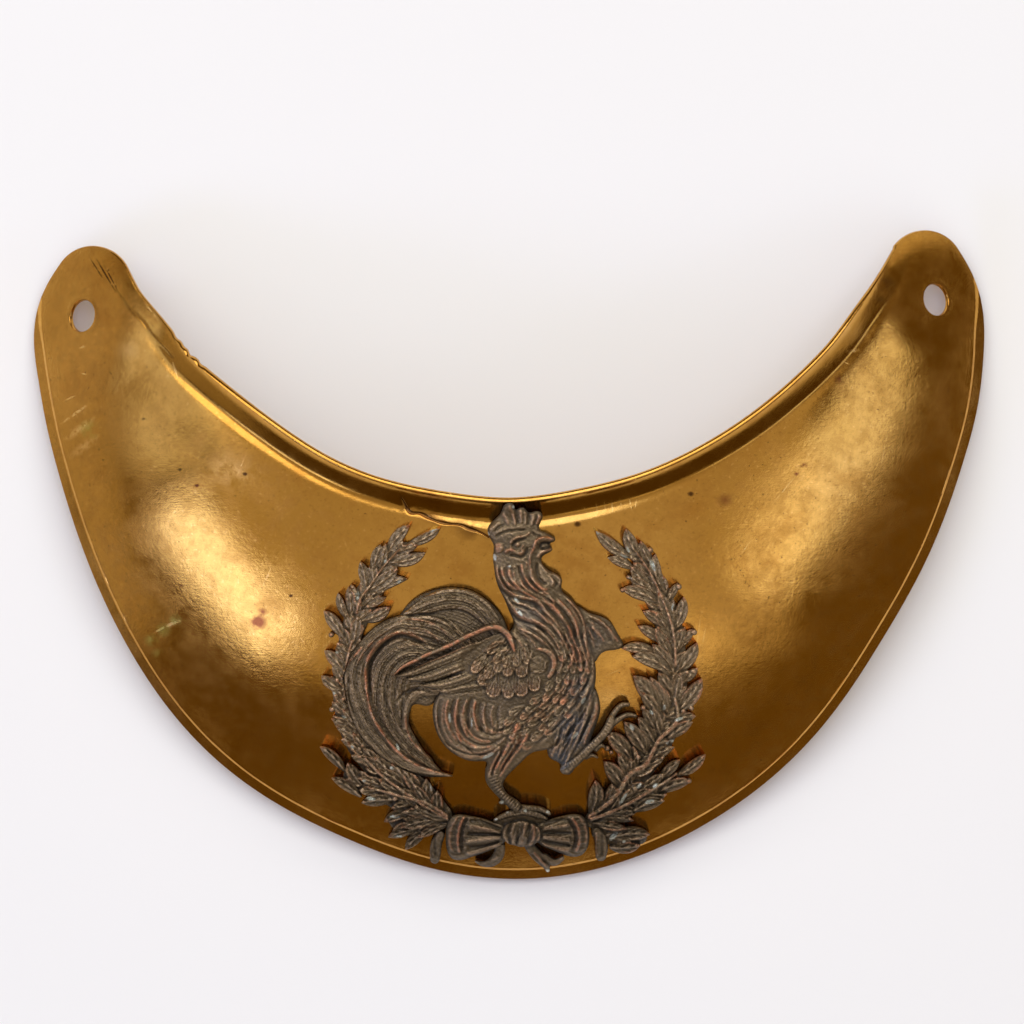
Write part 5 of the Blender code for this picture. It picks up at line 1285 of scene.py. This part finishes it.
def emblem_material():
    n = Nodes("patinated_copper")
    large = n.noise(160, 3)
    fine = n.noise(1600, 5, 0.65)
    grit = n.noise(4200, 3, 0.6)
    crest, hollow_patina_and_shade = n.attribute("crest"), n.attribute("hollow_patina_and_shade")
    upper_light = n.attribute("upper_light")
    base = n.mix(n.range(large, 0.35, 0.68), (0.142, 0.102, 0.055), (0.206, 0.148, 0.082))
    # Painted light: the upper branches are paler
    base = n.mix(n.math("MULTIPLY", upper_light, 0.75), base, (0.33, 0.245, 0.145))
    base = n.mix(n.attribute("blue"), base, (0.100, 0.105, 0.108))
    # Pale tan on the crests: rubbed metal together with painted highlight
    worn = n.math("MULTIPLY", crest, n.range(fine, 0.33, 0.55))
    base = n.mix(n.math("MULTIPLY", worn, 0.85), base, (0.67, 0.475, 0.29))
    copper = n.math("MULTIPLY", n.attribute("copper"), n.range(n.noise(700, 4, 0.6), 0.36, 0.56))
    copper = n.math("MULTIPLY", copper, n.range(crest, 0.0, 0.5, 0.45, 1.0))
    base = n.mix(copper, base, (0.60, 0.24, 0.12))
    # Patina with painted shade: the hollows go near black, less of it on the upper branches
    base = n.mix(n.math("MULTIPLY", hollow_patina_and_shade, n.range(upper_light, 0.0, 1.0, 0.85, 0.60)), base, (0.024, 0.017, 0.010))
    # Painted shade: the bow and the lowest leaves are darker
    split = n.add("ShaderNodeSeparateXYZ")
    n.put(split.inputs[0], n.place)
    low = n.range(split.outputs[1], plate_point(513, 830)[1], plate_point(513, 765)[1], 0.60, 1.0)
    base = n.mix(1.0, base, low, "MULTIPLY")
    silver = n.math("MULTIPLY", n.attribute("silver"), n.range(n.noise(900, 3), 0.30, 0.48))
    base = n.mix(silver, base, (0.56, 0.58, 0.50))
    n.put(n.shader.inputs["Base Color"], base)
    n.put(n.shader.inputs["Metallic"], n.range(hollow_patina_and_shade, 0.0, 1.0, 0.80, 0.35))
    rough = n.range(fine, 0.3, 0.7, 0.28, 0.46)
    n.put(n.shader.inputs["Roughness"], n.math("ADD", rough, n.math("MULTIPLY", hollow_patina_and_shade, 0.2)))
    n.relief(n.math("ADD", fine, n.math("MULTIPLY", grit, 0.6)), 0.00016, 1.0)
    return n.material


def plate_point(x, y):
    """Place of a photo pixel in the frame's XY, in metres."""
    plate_x, plate_y = pixel_to_plate(x, y)
    return (plate_x + REST[0]) * MM, (plate_y + REST[1]) * MM


def brass_material():
    n = Nodes("aged_brass")
    cloud = n.noise(22, 4, 0.5)
    blotch = n.noise(85, 6, 0.62, distort=0.5)
    mottle = n.noise(420, 5, 0.6)
    fine = n.noise(1500, 5, 0.65)
    speckle = n.noise(2300, 2, 0.5)
    streaks = [n.noise(300, 3, 0.6, stretch=(1, 22, 1), turn=turn) for turn in (0.5, -0.9, 1.5)]
    base = n.mix(n.range(cloud, 0.36, 0.66), (0.56, 0.280, 0.050), (0.70, 0.366, 0.080))
    base = n.mix(n.range(blotch, 0.50, 0.70, 0.0, 0.5), base, (0.44, 0.18, 0.026))
    base = n.mix(n.range(mottle, 0.40, 0.66, 0.0, 0.30), base, (0.42, 0.18, 0.030))
    base = n.mix(n.range(fine, 0.56, 0.72, 0.0, 0.35), base, (0.30, 0.125, 0.020))
    base = n.mix(n.range(fine, 0.28, 0.42, 0.35, 0.0), base, (0.90, 0.52, 0.16))
    spots = n.math("MULTIPLY", n.range(speckle, 0.68, 0.73), n.range(blotch, 0.42, 0.56))
    base = n.mix(n.math("MULTIPLY", spots, 0.75), base, (0.11, 0.042, 0.010))
    wear = 0.0
    for x1, y1, x2, y2, half, amount in SCRATCHES:
        scratch = n.mark(plate_point(x1, y1), plate_point(x2, y2), half * PIXEL * MM, amount)
        wear = n.math("MAXIMUM", wear, scratch)
    broken = n.math("MULTIPLY", wear, n.range(n.noise(1300, 2), 0.34, 0.52), clamp=True)
    base = n.mix(broken, base, (0.86, 0.50, 0.15))
    for x1, y1, x2, y2, half, amount in DARK_LINES:
        line = n.mark(plate_point(x1, y1), plate_point(x2, y2), half * PIXEL * MM, amount)
        base = n.mix(n.math("MULTIPLY", line, n.range(fine, 0.30, 0.55), clamp=True), base, DARK_BROWN)
    for x, y, half, amount, colour in STAINS:
        spot = n.mark(plate_point(x - 1, y), plate_point(x + 1, y), half * PIXEL * MM, amount)
        base = n.mix(n.math("MULTIPLY", spot, n.range(mottle, 0.36, 0.56), clamp=True), base, colour)
    # Painted shade: darker brass in the concave band inside the neck lip
    base = n.mix(n.math("MULTIPLY", n.attribute("groove"), 0.70), base, (0.27, 0.120, 0.012))
    base = n.mix(n.math("MULTIPLY", n.attribute("split"), 0.9), base, (0.10, 0.042, 0.012))
    n.put(n.shader.inputs["Base Color"], base)
    n.put(n.shader.inputs["Metallic"], 1.0)
    rough = n.range(blotch, 0.3, 0.7, 0.115, 0.20)
    rough = n.math("ADD", rough, n.range(mottle, 0.3, 0.7, -0.02, 0.05))
    rough = n.math("ADD", rough, n.math("MULTIPLY", broken, 0.12))
    n.put(n.shader.inputs["Roughness"], rough)
    brushed = n.math("ADD", n.math("ADD", streaks[0], streaks[1]), streaks[2])
    height = n.math("ADD", n.math("MULTIPLY", brushed, 0.13), n.math("MULTIPLY", mottle, 0.7))
    height = n.math("ADD", height, n.math("MULTIPLY", fine, 0.7))
    n.relief(height, 0.00003, 0.7)
    return n.material


# Plate

def plate_loop(form):
    """The outline as edge points, centre line points and share of neck side, once round."""
    spacing = np.linalg.norm(np.diff(form.outer, axis=0), axis=1)
    measure = np.concatenate(([0.0], np.cumsum(spacing / (form.spine[1:, 2] + BAND / 4))))
    places = np.interp(np.linspace(0, measure[-1], STATIONS), measure, np.arange(len(measure)))
    chosen = np.rint(places).astype(int)
    rows = [(form.outer[i], form.spine[i, :2], 0.0) for i in chosen]
    rows += horn_cap(form, -1, form.outer[-1], form.neck[-1], 1)
    rows += [(form.neck[i], form.spine[i, :2], 1.0) for i in chosen[::-1]]
    rows += horn_cap(form, 0, form.neck[0], form.outer[0], -1)
    return tuple(np.array([row[k] for row in rows]) for k in range(3))


def horn_cap(form, end, first, last, direction):
    centre, radius = form.spine[end, :2], form.spine[end, 2]
    begin = math.atan2(*(first - centre)[::-1])
    turn = (math.atan2(*(last - centre)[::-1]) - begin) % (2 * math.pi)
    rows = []
    for i in range(1, CAP_STEPS):
        share = i / CAP_STEPS
        angle = begin + turn * share
        edge = centre + radius * np.array((math.cos(angle), math.sin(angle)))
        rows.append((edge, centre, share if direction > 0 else 1 - share))
    return rows


def bent_surface(form, x, y):
    """The front surface before wear, with soft lands and the lip's section as it is now."""
    away = polyline_distance(form.neck[::9], x, y)
    places = np.linspace(0.0, LIP_SLOPES[-1][0], 161)
    slopes = np.interp(places, *zip(*LIP_SLOPES))
    rises = slopes[::-1].cumsum()[::-1] * places[1]
    pressed = LIP_RISE * np.clip(1 - away / LIP_WIDTH, 0.0, 1.0) ** 2
    return form.front(x, y, 9.0, 0.0) + (np.interp(away, places, rises) - pressed) * form.lip_share(x, y)


def worn_surface(form, x, y):
    """The front surface as worn: hem line, crest below the neck lip, wrinkle, waves, raised rims of the holes."""
    height = bent_surface(form, x, y)
    strip = polyline_distance(form.outer[::9], x, y) + 2.3 * ease(y, *HEM_END)
    step = 1 - ease(strip, BORDER_WIDTH - HEM_SOFT, BORDER_WIDTH + HEM_SOFT)
    height = height - BORDER_STEP * step * (1 - 0.55 * ease(y, *HEM_WEAK))
    ridge = 0.045 * np.clip(0.45 + 0.8 * soft_noise(x, y, 5.0, 9), 0, 1)
    height = height + 0.22 * np.clip(1 - strip / 1.5, 0, 1) + ridge * bump(strip, BORDER_WIDTH + HEM_SOFT, HEM_SOFT)
    neck = polyline_distance(form.neck[::9], x, y)
    lip = form.lip_share(x, y)
    crest = ease(neck, 3.0, 4.6) * (1 - ease(neck, 4.6, 12.0)) * (1 - 0.62 * ease(x, 8.0, 36.0))
    height = height + 0.28 * crest * lip
    crease = smooth([(*pixel_to_plate(*place), 0.0) for place in WRINKLE], 60)[:, :2]
    uneven = np.clip(0.55 + 0.6 * soft_noise(x, y, 2.4, 7), 0, 1) * (1 - ease(y, *WRINKLE_END))
    height = height - 0.07 * bump(polyline_distance(crease, x, y), 0.0, 0.24) * uneven
    height = height + 0.09 * soft_noise(x, y, 34.0, 5) + 0.022 * soft_noise(x, y, 9.0, 6)
    for side in (-1, 1):
        away = np.hypot((x - side * HOLE_SPACING / 2) / form.upright(x, y), y - HOLE_HEIGHT)
        height = height + 0.06 * bump(away, HOLE_DIAMETER / 2 + 0.3, 0.4)
    return height


def split_path():
    """The split's middle line and half widths, on the plate."""
    return smooth(np.array([(*pixel_to_plate(x, y), half * PIXEL) for x, y, half in SPLIT]), 80)


def flat_sheet(form, edge_rings, inner_rings, finer):
    """Flat mesh of the sheet: points, faces and the loop round its rim. It can be finer round split and wrinkle."""
    edge, centre, neck_side = plate_loop(form)
    reach = np.linalg.norm(centre - edge, axis=1)[:, None]
    chewed = 1 - ease(np.hypot(*(edge - pixel_to_plate(*CHEWED)).T), 2.5, 5.5)
    notches = 0.20 * chewed * np.clip(soft_noise(edge[:, 0], edge[:, 1], 1.5, 12), -0.4, 1)
    edge = edge + (centre - edge) / reach * notches[:, None]
    squeeze = np.minimum(1, (0.88 * reach - RING_LIMIT) / (EDGE_RINGS[-1][1] - RING_LIMIT))
    rings = []
    for outer, neck in edge_rings:
        away = outer + (neck - outer) * neck_side[:, None]
        away = np.where(away > RING_LIMIT, RING_LIMIT + (away - RING_LIMIT) * squeeze, away)
        rings.append(edge + (centre - edge) / reach * away)
    last = rings[-1]
    rings += [last + (centre - last) * (i / inner_rings) for i in range(1, inner_rings + 1)]
    count = len(edge)
    sheet = bmesh.new()
    corners = [sheet.verts.new((x, y, 0.0)) for x, y in np.concatenate(rings)]
    for ring in range(len(rings) - 1):
        for i in range(count):
            j = (i + 1) % count
            quad = (ring * count + i, ring * count + j, (ring + 1) * count + j, (ring + 1) * count + i)
            sheet.faces.new([corners[k] for k in quad])
    bmesh.ops.remove_doubles(sheet, verts=sheet.verts, dist=0.02)
    path = split_path()
    crease = np.array([pixel_to_plate(*place) for place in WRINKLE])
    for near, near_crease, cuts in ((2.0, 1.2, 1), (1.1, 0.6, 2)) if finer else ():
        sheet.verts.ensure_lookup_table()
        where = np.array([v.co[:2] for v in sheet.verts])
        close = polyline_distance(path[:, :2], where[:, 0], where[:, 1]) < near
        close |= polyline_distance(crease, where[:, 0], where[:, 1]) < near_crease
        edges = [e for e in sheet.edges
                 if close[e.verts[0].index] and close[e.verts[1].index] and not e.is_boundary]
        bmesh.ops.subdivide_edges(sheet, edges=edges, cuts=cuts, use_grid_fill=True)
        sheet.verts.index_update()
    bmesh.ops.recalc_face_normals(sheet, faces=sheet.faces)
    if sum(face.normal.z for face in sheet.faces) < 0:
        bmesh.ops.reverse_faces(sheet, faces=sheet.faces)
    points = np.array([v.co[:2] for v in sheet.verts])
    faces = [[v.index for v in face.verts] for face in sheet.faces]
    follow = {}
    for e in sheet.edges:
        if e.is_boundary:
            corner = e.link_loops[0]
            follow[corner.vert.index] = corner.link_loop_next.vert.index
    sheet.free()
    start = min(follow, key=lambda i: math.hypot(*(points[i] - edge[0])))
    loop = [start]
    while follow[loop[-1]] != start:
        loop.append(follow[loop[-1]])
    return points, faces, loop


def make_plate(form, shine):
    points, faces, loop = flat_sheet(form, EDGE_RINGS, INNER_RINGS, True)
    back_points, back_faces, back_loop = flat_sheet(form, EDGE_RINGS[::3], INNER_RINGS // 2, False)
    path = split_path()
    x, y = points.T
    count = len(points)
    away = polyline_distance(path[:, :2], x, y)
    nearest = ((x[:, None] - path[:, 0]) ** 2 + (y[:, None] - path[:, 1]) ** 2).argmin(axis=1)
    depth = np.clip(1 - away / np.maximum(path[nearest, 2], 0.05), 0, 1)
    z = worn_surface(form, x, y) - SPLIT_DEPTH * ease(depth, 0.0, 0.9) + 0.03 * bump(away, 0.6, 0.4)
    back_x, back_y = back_points.T
    smooth_z = bent_surface(form, back_x, back_y)
    tilt_x = (bent_surface(form, back_x + 0.05, back_y) - bent_surface(form, back_x - 0.05, back_y)) / 0.1
    tilt_y = (bent_surface(form, back_x, back_y + 0.05) - bent_surface(form, back_x, back_y - 0.05)) / 0.1
    normal = np.stack((-tilt_x, -tilt_y, np.ones(len(back_x))), axis=1)
    normal /= np.linalg.norm(normal, axis=1)[:, None]
    front = np.stack((x, y, z), axis=1)
    back = np.stack((back_x, back_y, smooth_z), axis=1) - SHEET * normal
    # Round the rim: rows between front and back, pushed outward
    normal = normal[back_loop]
    run = np.roll(points[loop], -1, axis=0) - np.roll(points[loop], 1, axis=0)
    outward = np.stack((run[:, 1], -run[:, 0], np.zeros(len(loop))), axis=1)
    outward -= (outward * normal).sum(axis=1)[:, None] * normal
    outward /= np.linalg.norm(outward, axis=1)[:, None]
    rows = []
    for share in RIM_ROWS:
        middle = front[loop] + (back[back_loop] - front[loop]) * share
        rows.append(middle + outward * RIM_BULGE * math.sin(math.pi * share) ** 0.5)
    everything = np.concatenate((front, back, *rows))
    faces = faces + [[i + count for i in face[::-1]] for face in back_faces]
    first = count + len(back)
    lines = [loop] + [range(first + k * len(loop), first + (k + 1) * len(loop)) for k in range(len(RIM_ROWS))]
    lines.append([i + count for i in back_loop])
    for upper, lower in zip(lines[:-1], lines[1:]):
        for i in range(len(loop)):
            j = (i + 1) % len(loop)
            faces.append((upper[j], upper[i], lower[i], lower[j]))
    mesh = bpy.data.meshes.new("gorget_plate")
    mesh.from_pydata((everything + REST) * MM, [], faces)
    neck = polyline_distance(form.neck[::9], x, y)
    # The concave band inside the neck lip, where the material paints shade
    groove = ease(neck, 0.3, 1.2) * (1 - ease(neck, 2.6, 3.7)) * form.lip_share(x, y)
    crease = polyline_distance(np.array([pixel_to_plate(*place) for place in WRINKLE]), x, y)
    brown = np.maximum(ease(depth, 0.0, 0.5), 0.45 * bump(away, 0.0, 0.45))
    brown = np.maximum(brown, 0.4 * bump(crease, 0.0, 0.3) * (1 - ease(y, *WRINKLE_END)))
    for key, value in (("split", brown), ("groove", groove)):
        layer = mesh.attributes.new(key, "FLOAT", "POINT")
        shares = np.zeros(len(everything), np.float32)
        shares[:count] = value
        layer.data.foreach_set("value", shares)
    mesh.materials.append(shine)
    piece = bpy.data.objects.new("gorget_plate", mesh)
    bpy.context.scene.collection.objects.link(piece)
    holes = hole_cutter(form)
    cut = piece.modifiers.new("holes", "BOOLEAN")
    cut.operation = "DIFFERENCE"
    cut.object = holes
    finished = bpy.data.meshes.new_from_object(piece.evaluated_get(bpy.context.evaluated_depsgraph_get()))
    piece.modifiers.clear()
    piece.data = finished
    finished.name = "gorget_plate"
    bpy.data.objects.remove(holes)
    finished.shade_smooth()
    finished.set_sharp_from_angle(angle=math.radians(42))
    return piece


def hole_cutter(form):
    """One object with a bar through each cord hole and each post hole, flared to take off the sharp edges."""
    bars = bmesh.new()
    unit = EMBLEM_UNIT / PIXEL
    places = [(side * HOLE_SPACING / 2, HOLE_HEIGHT, HOLE_DIAMETER, 0.16) for side in (-1, 1)]
    places += [(*pixel_to_plate(EMBLEM_MIDDLE[0] + x * unit, EMBLEM_MIDDLE[1] - y * unit), POST_HOLE, 0.05)
               for x, y in POSTS]
    for x, y, diameter, flare in places:
        height = float(form.front(np.array(x), np.array(y)))
        axis = Vector((x, y - form.top, float(form.dome(x, y)))).normalized()
        turn = axis.to_track_quat("Z", "Y").to_matrix().to_4x4()
        place = Matrix.Scale(MM, 4) @ Matrix.Translation(Vector((x, y, height)) + Vector(REST)) @ turn
        wide, bore = diameter / 2 + flare, diameter / 2
        profile = ((-4 * SHEET, wide), (-SHEET, wide), (flare - SHEET, bore),
                   (-flare, bore), (0.06, wide), (4 * SHEET, wide))
        angles = [2 * math.pi * i / HOLE_SIDES for i in range(HOLE_SIDES)]
        rows = []
        for z, radius in profile:
            around = [Vector((radius * math.cos(t), radius * math.sin(t), z)) for t in angles]
            rows.append([bars.verts.new(place @ corner) for corner in around])
        for low, high in zip(rows[:-1], rows[1:]):
            for i in range(HOLE_SIDES):
                j = (i + 1) % HOLE_SIDES
                bars.faces.new((low[i], low[j], high[j], high[i]))
        bars.faces.new(rows[0][::-1])
        bars.faces.new(rows[-1])
    mesh = bpy.data.meshes.new("holes")
    bars.to_mesh(mesh)
    bars.free()
    cutter = bpy.data.objects.new("holes", mesh)
    bpy.context.scene.collection.objects.link(cutter)
    return cutter


# Pieces

brass = brass_material()
patina = emblem_material()

plate = make_plate(CRESCENT_FORM, brass)
fields = {
    "emblem_left_branch": branch(LEFT_LEAVES, LEFT_BERRIES, LEFT_STEMS, LEFT_GROUND, 100),
    "emblem_right_branch": branch(RIGHT_LEAVES, RIGHT_BERRIES, RIGHT_STEMS, RIGHT_GROUND, 300),
    "emblem_tail": tail(),
    "emblem_rooster": rooster(),
    "emblem_bow": bow(),
}
# Where forms overlap, the lower one stays under the upper one
OVER = (("emblem_left_branch", "emblem_tail"), ("emblem_left_branch", "emblem_bow"),
        ("emblem_right_branch", "emblem_rooster"), ("emblem_right_branch", "emblem_bow"),
        ("emblem_tail", "emblem_rooster"), ("emblem_bow", "emblem_rooster"))
for under, over in OVER:
    shaded = fields[over].reach > 0.2
    lower = np.minimum(fields[under].height, fields[over].height - 0.25)
    fields[under].height = np.where(shaded, lower, fields[under].height)
emblem = []
for name, field in fields.items():
    add_specks(field)
    emblem.append(relief_piece(name, field, patina))

for piece in (plate, *emblem):
    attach(piece, "root")
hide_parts("plate")
for piece in emblem:
    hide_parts("emblem")
for name in ("post_left", "post_right", "post_top"):
    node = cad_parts[name]
    for i in range(len(node.material_slots)):
        node.material_slots[i].material = brass

# Floor, light and camera

floor_mesh = bpy.data.meshes.new("floor")
floor_mesh.from_pydata([(-3, -3, 0), (3, -3, 0), (3, 3, 0), (-3, 3, 0)], [], [(0, 1, 2, 3)])
floor = bpy.data.objects.new("floor", floor_mesh)
floor.location.z = -0.0001
bpy.context.scene.collection.objects.link(floor)
paper = Nodes("paper")
paper.put(paper.shader.inputs["Base Color"], (0.86, 0.86, 0.86))
paper.put(paper.shader.inputs["Roughness"], 0.8)
floor_mesh.materials.append(paper.material)


def softbox(name, azimuth, elevation, half_width, half_height, radiance, roll=0.0, colour=(1, 1, 1),
            distance=1.4):
    """A soft panel that faces the object; half sizes are angles as the object sees them."""
    light = bpy.data.lights.new(name, "AREA")
    light.shape = "RECTANGLE"
    light.size = 2 * distance * math.tan(math.radians(half_width))
    light.size_y = 2 * distance * math.tan(math.radians(half_height))
    light.energy = radiance * math.pi * light.size * light.size_y
    light.color = colour
    lamp = bpy.data.objects.new(name, light)
    a, e = math.radians(azimuth), math.radians(elevation)
    ahead = Vector((math.cos(a) * math.cos(e), math.sin(a) * math.cos(e), math.sin(e)))
    lamp.location = ahead * distance
    facing = (-ahead).to_track_quat("-Z", "Y").to_matrix() @ Matrix.Rotation(math.radians(roll), 3, "Z")
    lamp.rotation_euler = facing.to_euler()
    lamp.visible_camera = False
    bpy.context.scene.collection.objects.link(lamp)
    return lamp


COOL, COOLEST, PAPER_WHITE = (0.90, 1.08, 1.60), (0.90, 1.14, 2.3), (1.0, 0.985, 0.95)
softbox("top", -90, 88, 54, 53, 0.44)
softbox("key_left", -150, 29.8, 13.5, 5.5, 2.7, roll=11, colour=COOLEST)
softbox("wing_left", -186, 31, 13, 11, 0.78, colour=COOL)
softbox("key_right", -12, 30.6, 21, 4.8, 1.3, roll=-26, colour=COOL)
softbox("wing_right", -62, 37, 11, 4.8, 0.50)
softbox("side_left", -180, 8, 30, 8, 0.38)
softbox("side_right", 32, 11, 11, 9, 0.66)
softbox("back", 98, 58, 44, 20, 2.0, colour=PAPER_WHITE)
softbox("zenith", 60, 84, 12, 10, 1.7, colour=COOL)

WARM_ROOM = (0.145, 0.092, 0.018)
world = bpy.data.worlds.new("studio")
bpy.context.scene.world = world
world.use_nodes = True
world.node_tree.nodes["Background"].inputs["Color"].default_value = (*WARM_ROOM, 1)
world.node_tree.nodes["Background"].inputs["Strength"].default_value = 1.0

CAMERA_DISTANCE = 4.0
CAMERA_PLACE = (-0.00007, 0.00735, CAMERA_DISTANCE + 0.015)
SENSOR_WIDTH = 36
FRAME_WIDTH = 1024 * PIXEL * MM                # what the camera takes in at the object, in metres
camera_data = bpy.data.cameras.new("camera")
camera_data.sensor_width = SENSOR_WIDTH
camera_data.lens = SENSOR_WIDTH * CAMERA_DISTANCE / FRAME_WIDTH
camera_data.clip_end = 20
camera = bpy.data.objects.new("camera", camera_data)
camera.location = CAMERA_PLACE
camera.rotation_euler = (0, 0, EMBLEM_TURN)
bpy.context.scene.collection.objects.link(camera)
bpy.context.scene.camera = camera
bpy.context.scene.view_settings.view_transform = "Standard"
